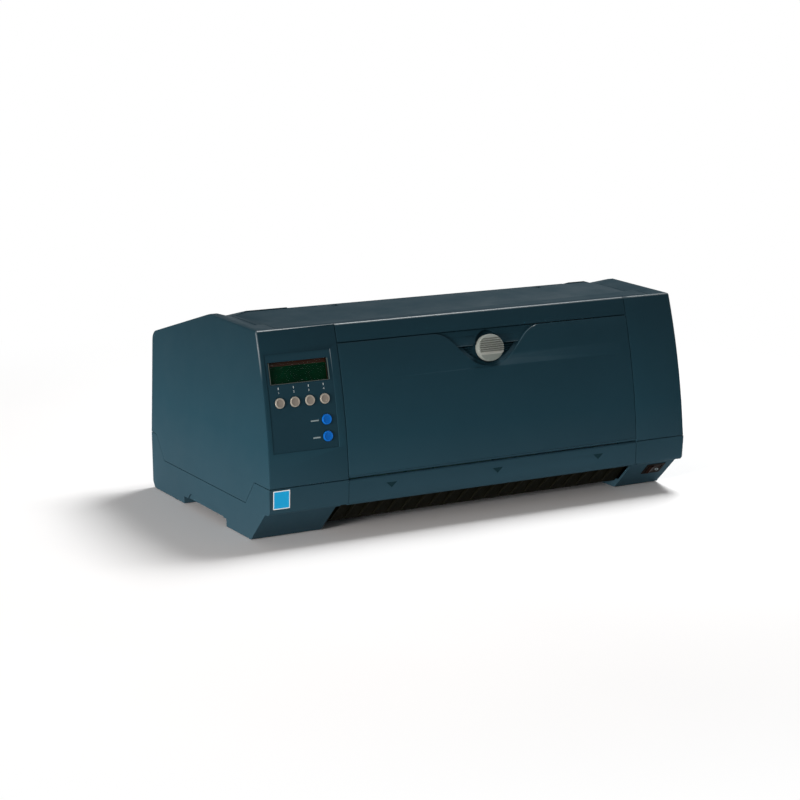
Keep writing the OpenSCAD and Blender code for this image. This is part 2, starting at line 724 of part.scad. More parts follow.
// round pocket that leaves the knob its travel upwards
module knob_pocket(r, travel) union() {
  circle(r);
  translate([0, travel]) circle(r);
  translate([-r, 0]) square([2 * r, travel]);
}
knob_lip = 1.2;
knob_rib_pitch = 2.4;
knob_ribs = 7;
knob_groove = 0.8;
module latch_knob() color([0.6, 0.58, 0.55]) on_bow(door_x, knob_z) difference() {
  union() {
    rotate([90, 0, 0]) {
      translate([0, 0, -pocket_depth + 0.5])
        cylinder(r = knob_r, h = knob_proud + pocket_depth - 0.5 - knob_lip);
      translate([0, 0, knob_proud - knob_lip])
        cylinder(r1 = knob_r, r2 = knob_r - knob_lip, h = knob_lip);
    }
    translate([-stem_w / 2, 0, -stem_h / 2]) cube([stem_w, tongue_in, stem_h]);
  }
  // grip grooves
  for (i = [0 : knob_ribs - 1]) translate([0, -knob_proud, (i - 2) * knob_rib_pitch])
    cube([2 * knob_r + 2, 2 * knob_groove, knob_rib_pitch / 2], center = true);
}
tongue_in = wall + 8;
tongue_t = 2;
tongue_top = (door_top_z - 3.4 - knob_z) / cos(bow_tilt(knob_z)) + tongue_in * tan(bow_tilt(knob_z));
module latch_tongue() color(steel_color) on_bow(door_x, knob_z)
  translate([-12, tongue_in, -stem_h]) cube([24, tongue_t, stem_h + tongue_top]);

module paper_flap() color(casing_color) difference() {
  union() {
    along_x(door_l, door_r) polygon(rounded([[front_y, flap_axis_z, 0],
      [front_y, chin_z + 1.5, 6], [chin_y, chin_z, 1], [chin_y, chin_z + wall, 0],
      [front_y + wall, chin_z + wall + 2, 4], [front_y + wall, flap_axis_z, 0]]));
    rod_x(flap_bead_r, door_l, door_r, flap_axis_y, flap_axis_z);
  }
  for (x = [door_l, door_r]) rod_x(hinge_pin_r + hinge_fit, x - hinge_pin_grip, x + hinge_pin_grip,
    flap_axis_y, flap_axis_z);
  // three marks pressed into the flap
  for (i = [-1 : 1]) translate([door_x + i * flap_mark_step, front_y + 0.4, flap_mark_z])
    rotate([90, 0, 0]) linear_extrude(1) polygon([[-flap_mark_w / 2, flap_mark_h / 2],
      [flap_mark_w / 2, flap_mark_h / 2], [0, -flap_mark_h / 2]]);
}
flap_mark_z = seam_z - 13;
flap_mark_step = plate_half - 60.25;
flap_mark_w = 16;
flap_mark_h = 7;

guide_rib_pitch = 20;
guide_back = 9;
guide_rise = 2.5;
guide_foot_y = toe_y - 9 + guide_back;
// dark slope behind the front edge that lets the paper in
module front_guide() color(dark_color) {
  along_x(left_foot_x + half_seam, right_foot_x - half_seam) polygon([
    [chin_y + guide_back, chin_z + guide_rise], [guide_foot_y, floor_z],
    [guide_foot_y + wall, floor_z], [guide_foot_y + wall, casing_floor],
    [chin_y + guide_back + wall + 1, chin_z + guide_rise]]);
  for (x = [left_foot_x + 10 : guide_rib_pitch : right_foot_x - 5])
    along_x(x, x + 2) polygon([[chin_y + guide_back + 1, chin_z + 2],
      [chin_y + guide_back - 3, chin_z - 2], [guide_foot_y - 4, floor_z + 3],
      [guide_foot_y + 1, floor_z + 3]]);
}

blue_key_x = key_first_x + 3 * key_pitch;
panel_back = panel_sink + panel_t;
lcd_x = (panel_left + panel_right) / 2 - 0.75;
key_foot = 3;
key_flange_t = 1.2;
panel_board_in = panel_back + key_flange_t + key_travel + 4;
board_mid_z = (panel_top + panel_bottom) / 2;
board_half_h = (panel_top - panel_bottom) / 2 - 5;
function bow_drop(dz) = pow(dz, 2) / 2 / front_r;
board_front = panel_board_in + bow_drop(board_half_h + 5);
lcd_front = panel_back + 3.1;
module on_board() on_bow(lcd_x, board_mid_z) children();
function key_x(i) = key_first_x + i * key_pitch;
module at_keys() {
  for (i = [0 : 3]) on_bow(key_x(i), key_row_z) children(0);
  for (i = [0 : 1]) on_bow(blue_key_x, blue_key_z - i * blue_key_step) children(1);
}
module key_hole(r) rotate([90, 0, 0]) cylinder(r = r, h = 40, center = true);
module control_panel() color([0.13, 0.19, 0.23]) difference() {
  union() {
    intersection() {
      block(panel_left + 0.2, panel_right - 0.2, front_y, 0, panel_bottom + 0.2, panel_top - 0.2);
      bow_layer(panel_sink, panel_back - 0.1);
    }
    // posts that carry the board behind the panel
    on_board() for (post = [[-33, 3 - board_half_h], [9, 3 - board_half_h], [-33, 14], [33, 14]])
      rod_y(2.5, post[0], panel_sink + panel_t / 2 + bow_drop(post[1]), board_front, post[1]);
  }
  at_keys() {
    key_hole(key_r + key_gap);
    key_hole(blue_key_r + key_gap);
  }
  on_bow(lcd_x, lcd_z) cube([lcd_w + 0.2, 30, lcd_h + 0.2], center = true);
}
module key(r) {
  rotate([90, 0, 0]) {
    translate([0, 0, -panel_back - 0.3]) cylinder(r = r, h = panel_back + 0.3 + key_proud - 0.5);
    translate([0, 0, key_proud - panel_sink - 0.02]) cylinder(r1 = r, r2 = r - 0.5, h = 0.5, $fn = 48);
    translate([0, 0, -panel_back - 0.3 - key_flange_t]) cylinder(r = r + 1.4, h = key_flange_t);
    translate([0, 0, -panel_board_in + key_travel + 0.3])
      cylinder(r = key_foot, h = panel_board_in - panel_back - key_travel - 0.3);
  }
}
module grey_key(i) color([0.6, 0.55, 0.5]) on_bow(key_x(i), key_row_z) key(key_r);
module grey_key_1() grey_key(0);
module grey_key_2() grey_key(1);
module grey_key_3() grey_key(2);
module grey_key_4() grey_key(3);
module blue_key(i) color([0.08, 0.35, 0.72])
  on_bow(blue_key_x, blue_key_z - i * blue_key_step) key(blue_key_r);
module blue_key_upper() blue_key(0);
module blue_key_lower() blue_key(1);

lcd_rim = 2;
// clear window with a raised rim, its flange behind the panel
module lcd_window() color([0.25, 0.35, 0.32]) on_bow(lcd_x, lcd_z) difference() {
  union() {
    translate([0, panel_back / 2 + 0.1, 0]) cube([lcd_w, panel_back + 1.4, lcd_h], center = true);
    translate([0, panel_back + 0.8, 0]) cube([lcd_w, 1, lcd_h + 3], center = true);
  }
  translate([0, -0.6, 0])
    cube([lcd_w - 2 * lcd_rim, 1.6, lcd_h - 2 * lcd_rim], center = true);
}
module lcd_module() color([0.1, 0.3, 0.15]) on_board() translate([-lcd_w / 2 + 1, lcd_front,
  (lcd_z - board_mid_z) / cos(bow_tilt(lcd_z)) - lcd_h / 2 - 3])
  cube([lcd_w - 2, board_front - lcd_front, lcd_h + 5]);
module panel_board() color([0.1, 0.35, 0.15]) on_board() translate([-lcd_w / 2 - 1, board_front,
  -board_half_h]) cube([lcd_w + 2, 1.6, 2 * board_half_h]);

module front_label() color([0.1, 0.5, 0.75]) block(label_x - label_side / 2,
  label_x + label_side / 2, front_y, front_y + label_t,
  label_z - label_side / 2, label_z + label_side / 2);

switch_well = 7.5;
rocker_in = 3.3;
switch_body_d = 16;
module switch_housing() color(dark_color) on_toe(switch_x) difference() {
  union() {
    translate([-switch_w / 2, -1, -switch_h / 2]) cube([switch_w, 1, switch_h]);
    translate([-switch_w / 2 + 1.7, -1, -switch_h / 2 + 1.7])
      cube([switch_w - 3.4, switch_body_d + 1, switch_h - 3.4]);
  }
  translate([-switch_w / 2 + 3.2, -2, -switch_h / 2 + 3.2])
    cube([switch_w - 6.4, switch_well + 2, switch_h - 6.4]);
  rocker_pin();
}
module rocker_pin() translate([0, rocker_in, 0])
  cylinder(r = hinge_pin_r, h = switch_h - 6.4 + 1.5, center = true);
// rocker, tipped to the left, turning on pins in the side walls of its well
module power_rocker() color([0.12, 0.07, 0.06]) on_toe(switch_x) translate([0, rocker_in, 0])
  rotate([0, 0, rocker_tip / 2]) difference() {
    translate([0, 0, -switch_h / 2 + 3.6]) linear_extrude(switch_h - 7.2) intersection() {
      difference() {
        circle(switch_w / 2 - 4);
        translate([0, -28]) circle(23.5);
      }
      translate([-switch_w / 2, -switch_h / 2]) square([switch_w, switch_h / 2 + 2.4]);
    }
    cylinder(r = hinge_pin_r + hinge_fit, h = switch_h, center = true);
  }

module rubber_feet() color(dark_color) for (x = [-rubber_x, rubber_x], y = rubber_rows)
  translate([x, y, 0]) cylinder(r = rubber_r, h = rubber_t);

cover_lug_pin = hinge_pin_grip + lug_w / 2;
module hinge_pins() color(steel_color) {
  for (side = [0, 1], axis = [[door_axis_y, door_axis_z], [flap_axis_y, flap_axis_z],
    [rear_axis_y, rear_axis_z]]) {
    x0 = side == 0 ? door_left - wall : door_r - hinge_pin_grip + 0.5;
    x1 = side == 0 ? door_l + hinge_pin_grip - 0.5 : door_right + wall;
    rod_x(hinge_pin_r, x0, x1, axis[0], axis[1]);
  }
  for (x = hinge_xs) rod_x(cover_pin_r, x - cover_lug_pin + 0.5, x + cover_lug_pin - 0.5,
    cover_axis_y, cover_axis_z);
  on_toe(switch_x) rocker_pin();
}
module case_screws() color(steel_color) at_bosses() {
  translate([0, 0, 2.4]) cylinder(r = screw_head_r, h = screw_head_z - 2.4);
  translate([0, 0, 2.4]) cylinder(r = screw_r - 0.05, h = casing_floor + screw_bite - 4);
}

left_in = door_x - plate_half;
right_in = door_x + plate_half;
left_out = left_in - plate_t;
right_out = right_in + plate_t;
platen_face_y = platen_y - platen_r;
bush_r = platen_shaft_r + bush_wall;
bush_flange = 2;
tractor_y = front_y + tractor_back;
tractor_bush_r = tractor_shaft_r + bush_wall;
rod_y_pos = platen_y - rod_back;
rod_z = [platen_z - rod_step / 2, platen_z + rod_step / 2];
plate_front_y = liner_back_y + 1;
plate_rear_y = rear_y - 52;
gear_x = right_out + 1.5;
mesh_slack = 0.25;
function gear_r(teeth) = gear_module * teeth / 2;
platen_at = [platen_y, platen_z];
tractor_at = [tractor_y, tractor_z];
// the idler spans the gap between the platen gear and the tractor gear
span = platen_at - tractor_at;
idler_teeth = ceil((norm(span) - gear_r(platen_teeth) - gear_r(tractor_teeth)) / gear_module) + 2;
idler_to_platen = gear_r(idler_teeth) + gear_r(platen_teeth) + mesh_slack;
idler_to_tractor = gear_r(idler_teeth) + gear_r(tractor_teeth) + mesh_slack;
span_part = (pow(idler_to_tractor, 2) - pow(idler_to_platen, 2) + span * span) / 2 / norm(span);
span_rise = sqrt(pow(idler_to_tractor, 2) - pow(span_part, 2));
idler_at = tractor_at + span / norm(span) * span_part
  + [span[1], -span[0]] / norm(span) * span_rise;
pinion_angle = -28;
pinion_at = platen_at + (gear_r(pinion_teeth) + gear_r(platen_teeth) + mesh_slack)
  * [cos(pinion_angle), sin(pinion_angle)];
function bearing(a, b) = atan2(b[1] - a[1], b[0] - a[0]);
// turn of a gear so that its teeth fall in the gaps of the gear before it
function in_mesh(turn, teeth, next, angle) =
  angle + 180 + (angle - turn) * teeth / next - 180 / next;
idler_turn = in_mesh(0, platen_teeth, idler_teeth, bearing(platen_at, idler_at));
pinion_turn = in_mesh(0, platen_teeth, pinion_teeth, pinion_angle);
tractor_turn = in_mesh(idler_turn, idler_teeth, tractor_teeth, bearing(idler_at, tractor_at));

module gear_shape(teeth) {
  r = gear_r(teeth);
  m = gear_module;
  circle(r - 1.15 * m, $fn = 96);
  for (i = [0 : teeth - 1]) rotate(i * 360 / teeth) polygon([[r - 1.5 * m, -0.85 * m],
    [r, -0.62 * m], [r + 0.85 * m, -0.26 * m], [r + 0.85 * m, 0.26 * m], [r, 0.62 * m],
    [r - 1.5 * m, 0.85 * m]]);
}
// toothed wheel on the outside of the right plate
module plate_gear(at, teeth, turn, bore) along_x(gear_x, gear_x + gear_w) translate(at)
  difference() {
    rotate(turn) gear_shape(teeth);
    circle(bore);
    if (teeth > 60) for (i = [0 : 4]) rotate(i * 72) translate([gear_r(teeth) / 2, 0])
      circle(gear_r(teeth) / 5);
  }

stud_r = 4;
roof_back_y = cover_axis_y + 2;
module side_plate(x) color(steel_color) difference() {
  along_x(x, x + plate_t) difference() {
    polygon(rounded([[guide_foot_y + wall + 2, casing_floor, 0], [plate_front_y, casing_floor + 18, 0],
      [plate_front_y, tractor_z + 28, 10],
      [rod_y_pos - 22, rod_z[1] + 30, 10], [cover_axis_y - 14, crest_beam_z1, 3],
      [cover_axis_y + 22, crest_beam_z1, 6], [plate_rear_y, rear_axis_z - 20, 10],
      [plate_rear_y, casing_floor, 0]]));
    translate(platen_at) circle(bush_r);
    translate(tractor_at) circle(tractor_bush_r);
    translate(tractor_at - [0, tractor_rod_down]) circle(tractor_rod_r);
    for (z = rod_z) translate([rod_y_pos, z]) circle(rod_r);
    // window that lightens the plate
    translate([plate_rear_y - 52, casing_floor + 22]) square([36, 70]);
  }
}
module left_side_plate() side_plate(left_out);
module right_side_plate() difference() {
  side_plate(right_in);
  color(steel_color) rod_x(stud_r, right_in - 1, right_out + 1, idler_at[0], idler_at[1]);
  rod_x(pinion_hole_r, right_in - 1, right_out + 1, pinion_at[0], pinion_at[1]);
  rod_x(lever_pin_r, right_in - 1, right_out + 1, lever_y, lever_z);
}
pinion_hole_r = 4;
lever_pin_r = 2.5;
crest_beam_z0 = cover_axis_z - cover_bead_r - 15;
crest_beam_z1 = cover_axis_z - cover_bead_r - 5;
beam_y = plate_front_y + 60;
beam_w = 30;
beam_h = 14;
rear_beam_d = 12;
rear_beam_up = 96;
module frame_beams() color(steel_color) {
  block(left_in, right_in, beam_y, beam_y + beam_w, casing_floor, casing_floor + beam_h);
  block(left_in, right_in, plate_rear_y - rear_beam_d, plate_rear_y, casing_floor + rear_beam_up,
    casing_floor + rear_beam_up + beam_w);
  // beam under the crest with the lugs of the top cover
  difference() {
    union() {
      block(left_in, right_in, cover_axis_y - 10, cover_axis_y + 3, crest_beam_z0, crest_beam_z1);
      for (x = hinge_xs) {
        block(x - lug_w / 2, x + lug_w / 2, cover_axis_y - 4, cover_axis_y + 3, crest_beam_z0,
          cover_axis_z);
        rod_x(4, x - lug_w / 2, x + lug_w / 2, cover_axis_y, cover_axis_z);
      }
    }
    for (x = hinge_xs) rod_x(cover_pin_r, x - lug_w, x + lug_w, cover_axis_y, cover_axis_z);
  }
  rod_x(stud_r, right_in, gear_x + gear_w + 2, idler_at[0], idler_at[1]);
  tension_bracket();
  lever_stud();
}
// flanged bushes for the platen shaft and the tractor shaft in both plates
module bushes() color([0.85, 0.82, 0.72]) for (x = [left_out, right_in],
  seat = [[platen_at, platen_shaft_r], [tractor_at, tractor_shaft_r]]) difference() {
    union() {
      rod_x(seat[1] + bush_wall, x, x + plate_t, seat[0][0], seat[0][1]);
      rod_x(seat[1] + bush_wall + 2, x == left_out ? left_in : right_in - bush_flange,
        x == left_out ? left_in + bush_flange : right_in, seat[0][0], seat[0][1]);
    }
    rod_x(seat[1] + shaft_fit, x - far, x + far, seat[0][0], seat[0][1]);
  }
module platen() color(dark_color) difference() {
  union() {
    rod_x(platen_r, door_x - platen_len / 2, door_x + platen_len / 2, platen_y, platen_z);
    rod_x(platen_shaft_r, left_out - 3, gear_x + gear_w + 3, platen_y, platen_z);
  }
}
module platen_gear() color([0.9, 0.88, 0.8]) plate_gear(platen_at, platen_teeth, 0, platen_shaft_r);
module idler_gear() color([0.9, 0.88, 0.8])
  plate_gear(idler_at, idler_teeth, idler_turn, stud_r + shaft_fit);
motor_len = 38;
module feed_pinion() color([0.8, 0.7, 0.4]) {
  plate_gear(pinion_at, pinion_teeth, pinion_turn, platen_shaft_r / 2);
  rod_x(platen_shaft_r / 2, gear_x - 1, gear_x + gear_w + 6, pinion_at[0], pinion_at[1]);
}
module feed_motor() color([0.2, 0.2, 0.22]) difference() {
  union() {
    rod_x(motor_r, gear_x + gear_w + 3, gear_x + gear_w + 3 + motor_len, pinion_at[0], pinion_at[1]);
    for (a = [-70, 0, 70]) rod_x(3, right_out, gear_x + gear_w + 4,
      pinion_at[0] + (motor_r - 3.5) * cos(pinion_angle + a),
      pinion_at[1] + (motor_r - 3.5) * sin(pinion_angle + a));
  }
  rod_x(platen_shaft_r / 2 + shaft_fit, right_out, gear_x + gear_w + 10, pinion_at[0], pinion_at[1]);
}
module tractor_shaft() color(steel_color) {
  rod_x(tractor_shaft_r, left_out - 2, gear_x + gear_w + 1, tractor_y, tractor_z);
  plate_gear(tractor_at, tractor_teeth, tractor_turn, tractor_shaft_r - 1);
}
module tractor_rod() color(steel_color)
  rod_x(tractor_rod_r, left_out, right_out, tractor_y, tractor_z - tractor_rod_down);

tractor_half_d = 20;
tractor_top = sprocket_r - 1;
sprocket_w = 8;
pin_proud = 3;
tractor_pin_r = 1.2;
ear_z = sprocket_r + pin_proud + 3;
// side is -1 for the left tractor and 1 for the right one
module tractor(side) color([0.12, 0.12, 0.13]) translate([door_x + side * tractor_off, tractor_y,
  tractor_z]) difference() {
    union() {
      translate([-tractor_w / 2, 0, 0]) rotate([90, 0, 90]) linear_extrude(tractor_w)
        polygon(rounded([[-tractor_half_d, -tractor_rod_down - 8, 4],
          [tractor_half_d, -tractor_rod_down - 8, 4], [tractor_half_d, tractor_top, 8],
          [-tractor_half_d, tractor_top, 8]]));
      for (y = [-tractor_half_d + 4, tractor_half_d - 8]) translate([side * (tractor_w / 2 - 3) - 3, y, 0])
        cube([6, 4, ear_z + 3]);
    }
    rod_x(tractor_shaft_r + 0.4, -tractor_w, tractor_w, 0, 0);
    rod_x(tractor_rod_r + shaft_fit, -tractor_w, tractor_w, 0, -tractor_rod_down);
    rod_x(sprocket_r + pin_proud + 0.8, -sprocket_w / 2 - 0.5, sprocket_w / 2 + 0.5, 0, 0);
    rod_y(tractor_pin_r, side * (tractor_w / 2 - 3), -far, far, ear_z);
  }
module left_tractor() tractor(-1);
module right_tractor() tractor(1);
module tractor_flap(side) color([0.15, 0.15, 0.16]) translate([door_x + side * tractor_off,
  tractor_y, tractor_z]) {
    difference() {
      union() {
        block(-tractor_w / 2 + (side < 0 ? 3 : 0), tractor_w / 2 - (side > 0 ? 3 : 0),
          -tractor_half_d + 8.4, tractor_half_d - 8.4, ear_z - flap_t / 2, ear_z + flap_t / 2);
        rod_y(2.4, side * (tractor_w / 2 - 3), -tractor_half_d + 8.4, tractor_half_d - 8.4, ear_z);
      }
    }
    rod_y(tractor_pin_r - hinge_fit, side * (tractor_w / 2 - 3), -tractor_half_d + 4.5,
      tractor_half_d - 4.5, ear_z);
  }
module left_tractor_flap() tractor_flap(-1);
module right_tractor_flap() tractor_flap(1);
module sprocket(side) color([0.75, 0.75, 0.72]) translate([door_x + side * tractor_off, tractor_y,
  tractor_z]) difference() {
    union() {
      rod_x(sprocket_r, -sprocket_w / 2, sprocket_w / 2, 0, 0);
      for (i = [0 : sprocket_pins - 1]) rotate([i * 360 / sprocket_pins, 0, 0])
        cylinder(r = 1.8, h = sprocket_r + pin_proud);
    }
    rod_x(tractor_shaft_r + shaft_fit, -sprocket_w, sprocket_w, 0, 0);
  }
module left_sprocket() sprocket(-1);
module right_sprocket() sprocket(1);

carriage_x = door_x;
carriage_d = 26;
carriage_end = 9;
carriage_front = rod_y_pos - carriage_d / 2;
carriage_back = rod_y_pos + carriage_d / 2;
belt_y1 = carriage_front - 2;
belt_y0 = belt_y1 - belt_w;
pulley_in = 22;
pulley_xs = [left_in + pulley_in, right_in - pulley_in];
clamp_w = 12;
module carriage_rods() color(steel_color)
  for (z = rod_z) rod_x(rod_r, left_out, right_out, rod_y_pos, z);
module carriage() color([0.14, 0.14, 0.15]) difference() {
  union() {
    along_x(carriage_x - carriage_w / 2, carriage_x + carriage_w / 2) polygon(rounded([
      [carriage_front, rod_z[0] - rod_r - 4, 4], [carriage_back, rod_z[0] - rod_r - 4, 4],
      [carriage_back, rod_z[1] + carriage_end, 4], [carriage_front, rod_z[1] + carriage_end, 4]]));
    // clamp over the upper run of the belt
    block(carriage_x - clamp_w / 2, carriage_x + clamp_w / 2, belt_y0 + 1, carriage_front + 1,
      platen_z + pulley_r + belt_t + 0.4, platen_z + pulley_r + belt_t + 4);
    block(carriage_x - clamp_w / 2, carriage_x + clamp_w / 2, belt_y0 + 1, carriage_front + 1,
      platen_z + pulley_r - 4, platen_z + pulley_r - 0.4);
  }
  for (z = rod_z) rod_x(rod_r + shaft_fit, carriage_x - carriage_w, carriage_x + carriage_w,
    rod_y_pos, z);
}
head_w = 26;
head_h = 26;
nose_w = 8;
nose_h = 14;
nose_len = 9;
fin_count = 6;
module print_head() color([0.25, 0.25, 0.27]) {
  nose_y = platen_face_y - head_gap;
  block(carriage_x - head_w / 2, carriage_x + head_w / 2, carriage_back, nose_y - nose_len,
    platen_z - head_h / 2, platen_z + head_h / 2);
  along_x(carriage_x - nose_w / 2, carriage_x + nose_w / 2) polygon([
    [nose_y - nose_len - 1, platen_z - head_h / 2], [nose_y, platen_z - nose_h / 2],
    [nose_y, platen_z + nose_h / 2], [nose_y - nose_len - 1, platen_z + head_h / 2]]);
  // cooling fins over the head
  for (i = [0 : fin_count - 1]) block(carriage_x - head_w / 2 + i * (head_w - 1.6) / (fin_count - 1),
    carriage_x - head_w / 2 + i * (head_w - 1.6) / (fin_count - 1) + 1.6, carriage_back,
    nose_y - nose_len - 1, platen_z + head_h / 2 - 1, platen_z + head_h / 2 + 8);
}

pulley_bore = 2.5;
module belt_pulley(x) difference() {
  union() {
    rod_y(pulley_r, x, belt_y0 - 0.3, belt_y1 + 0.3, platen_z);
    for (y = [belt_y0 - 1.3, belt_y1 + 0.3]) rod_y(pulley_r + belt_t + 0.6, x, y, y + 1, platen_z);
  }
  rod_y(pulley_bore, x, -far, far, platen_z);
}
pulley_back_y = belt_y0 - 1.3;
module motor_pulley() color([0.8, 0.7, 0.4]) {
  belt_pulley(pulley_xs[0]);
  rod_y(pulley_bore, pulley_xs[0], pulley_back_y - 6, belt_y1 + 1.3, platen_z);
}
// the motor hangs on a steel bracket that is fixed to the left side plate
carriage_motor_len = 26;
module carriage_motor() color([0.2, 0.2, 0.22]) difference() {
  union() {
    rod_y(motor_r - 1, pulley_xs[0], pulley_back_y - 3 - carriage_motor_len, pulley_back_y - 1,
      platen_z);
    block(left_in, pulley_xs[0] + motor_r, pulley_back_y - 3, pulley_back_y - 1,
      platen_z - motor_r, platen_z + motor_r);
  }
  rod_y(pulley_bore + shaft_fit, pulley_xs[0], pulley_back_y - 7, far, platen_z);
}
module tension_pulley() color([0.85, 0.82, 0.72]) difference() {
  union() {
    belt_pulley(pulley_xs[1]);
    rod_y(pulley_bore + 1, pulley_xs[1], pulley_back_y, belt_y1 + 1.3, platen_z);
  }
  rod_y(pulley_bore + shaft_fit, pulley_xs[1], -far, far, platen_z);
}
module tension_bracket() {
  block(pulley_xs[1] - 6, right_in, pulley_back_y - 3, pulley_back_y - 1,
    platen_z - 10, platen_z + 10);
  rod_y(pulley_bore, pulley_xs[1], pulley_back_y - 2, belt_y1 + 1, platen_z);
}
module toothed_belt() color(dark_color) translate([0, belt_y1, platen_z]) rotate([90, 0, 0])
  linear_extrude(belt_w) difference() {
    belt_loop(pulley_r + belt_t + 0.1);
    belt_loop(pulley_r + 0.1);
  }
module belt_loop(r) {
  for (x = pulley_xs) translate([x, 0]) circle(r, $fn = 64);
  translate([pulley_xs[0], -r]) square([pulley_xs[1] - pulley_xs[0], 2 * r]);
}

cartridge_back = carriage_front - 9;
cartridge_front = cartridge_back - cartridge_d;
cartridge_z0 = rod_z[1] + carriage_end + 3;
cartridge_z1 = cartridge_z0 + cartridge_h;
ribbon_arm = 9;
ribbon_y = platen_face_y - head_gap / 2;
ribbon_t = 0.16;
knob_post = 3;
cart_l = door_x - cartridge_len / 2;
cart_r = door_x + cartridge_len / 2;
module ribbon_cartridge() color([0.12, 0.12, 0.13]) difference() {
  union() {
    block(cart_l, cart_r, cartridge_front, cartridge_back, cartridge_z0, cartridge_z1);
    for (x = [cart_l, cart_r - ribbon_arm]) {
      block(x, x + ribbon_arm, cartridge_back - 1, ribbon_y + 0.3, cartridge_z0, cartridge_z1);
      block(x, x + ribbon_arm, ribbon_y - 12, ribbon_y + 0.3, platen_z - ribbon_w / 2 - 2,
        cartridge_z0 + 1);
    }
    // ears that rest on the side plates
    translate([door_x, 0, 0]) for (side = [0, 1]) mirror([side, 0, 0])
      block(cartridge_len / 2 - 1, plate_half, cartridge_front + 10, cartridge_back - 6,
        cartridge_z0 + 2, cartridge_z0 + 6);
  }
  translate([knob_at[0], knob_at[1], cartridge_z1 - 10]) cylinder(r = knob_post + shaft_fit, h = far);
}
knob_at = [cart_l + 34, (cartridge_front + cartridge_back) / 2];
module ribbon() color([0.05, 0.05, 0.06])
  block(cart_l + ribbon_arm, cart_r - ribbon_arm, ribbon_y - ribbon_t / 2, ribbon_y + ribbon_t / 2,
    platen_z - ribbon_w / 2, platen_z + ribbon_w / 2);
knob_flutes = 12;
module ribbon_knob() color([0.1, 0.35, 0.6]) translate([knob_at[0], knob_at[1], 0]) difference() {
  union() {
    translate([0, 0, cartridge_z1 - 9]) cylinder(r = knob_post, h = 12);
    translate([0, 0, cartridge_z1 + 0.4]) cylinder(r = ribbon_knob_r, h = 9);
  }
  for (i = [0 : knob_flutes - 1]) rotate(i * 360 / knob_flutes)
    translate([ribbon_knob_r + 0.6, 0, cartridge_z1]) cylinder(r = 1.6, h = 12);
}

lever_y = platen_y - 34;
lever_z = rod_z[1] + 22;
lever_t = 3;
lever_x = right_out + 0.4;
lever_len = deck_z - wall - 2 - lever_z;
module head_gap_lever() color([0.2, 0.45, 0.3]) difference() {
  union() {
    rod_x(6, lever_x, lever_x + lever_t, lever_y, lever_z);
    block(lever_x, lever_x + lever_t, lever_y - 3, lever_y + 3, lever_z, lever_z + lever_len - 4);
    block(lever_x, lever_x + 9, lever_y - 4, lever_y + 4, lever_z + lever_len - 8,
      lever_z + lever_len - 3);
  }
  rod_x(lever_pin_r + shaft_fit, 0, far, lever_y, lever_z);
}
module lever_stud() rod_x(lever_pin_r, right_in, lever_x + lever_t + 1, lever_y, lever_z);

chute_t = 1.5;
module paper_guide() color([0.3, 0.3, 0.32]) along_x(left_in, right_in) polygon([
  [tractor_y + tractor_half_d + 2, tractor_z + 4], [tractor_y + tractor_half_d + 2, tractor_z + 4
  + chute_t], [rod_y_pos, rod_z[0] - rod_r - 8], [platen_y - 10, platen_z - platen_r - 4],
  [platen_y + 10, platen_z - platen_r - 4], [platen_y + 10, platen_z - platen_r - 4 - chute_t],
  [platen_y - 10, platen_z - platen_r - 4 - chute_t], [rod_y_pos, rod_z[0] - rod_r - 8 - chute_t]]);

board_y0 = beam_y + beam_w + 6;
chip_pitch = 52;
chip_w = 32;
chip_d = 16;
can_pitch = 24;
can_r = 5;
can_h = 14;
module main_board() color([0.1, 0.35, 0.15]) {
  block(left_in + 6, right_in - 40, board_y0, rear_y - 16, board_z, board_z + 1.6);
  for (x = [left_in + 14, right_in - 48], y = [board_y0 + 8, rear_y - 24])
    translate([x, y, casing_floor]) cylinder(r = 3, h = board_z - casing_floor);
  // chips, capacitors and sockets
  for (i = [0 : 4]) block(left_in + chip_pitch + i * chip_pitch, left_in + chip_pitch + chip_w
    + i * chip_pitch, board_y0 + 30, board_y0 + 30 + chip_d, board_z + 1.6, board_z + 5);
  for (i = [0 : 6]) translate([left_in + 40 + i * can_pitch, board_y0 + 90, board_z + 1.6])
    cylinder(r = can_r, h = can_h);
}
supply_l = -body_w / 2 + 14;
supply_h = 72;
module power_supply() color([0.6, 0.62, 0.65])
  block(supply_l, left_out - 6, beam_y + 8, rear_y - 40, casing_floor, casing_floor + supply_h);

io_t = 1.2;
parallel_x = io_x - 50;
serial_x = io_x + 20;
square_x = io_x + 62;
module rear_connectors() color(steel_color) {
  difference() {
    union() {
      block(io_x - io_w / 2 - 5, io_x + io_w / 2 + 5, rear_y - wall - io_t, rear_y - wall,
        io_z - 5, io_z + io_h + 5);
      // wide parallel socket, serial socket and square socket
      block(parallel_x - 36, parallel_x + 36, rear_y - 18, rear_y - 1.2, io_z + 11, io_z + 33);
      block(serial_x - 17, serial_x + 17, rear_y - 16, rear_y - 1.2, io_z + 14, io_z + 28);
      block(square_x - 8, square_x + 8, rear_y - 16, rear_y - 1.2, io_z + 13, io_z + 28);
    }
    block(parallel_x - 30, parallel_x + 30, rear_y - 9, far, io_z + 15, io_z + 29);
    block(serial_x - 14, serial_x + 14, rear_y - 7, far, io_z + 17, io_z + 25);
    block(square_x - 5, square_x + 5, rear_y - 9, far, io_z + 16, io_z + 25);
  }
  // bar that carries the contacts of the parallel socket
  block(parallel_x - 27, parallel_x + 27, rear_y - 10, rear_y - 3, io_z + 20, io_z + 24);
}

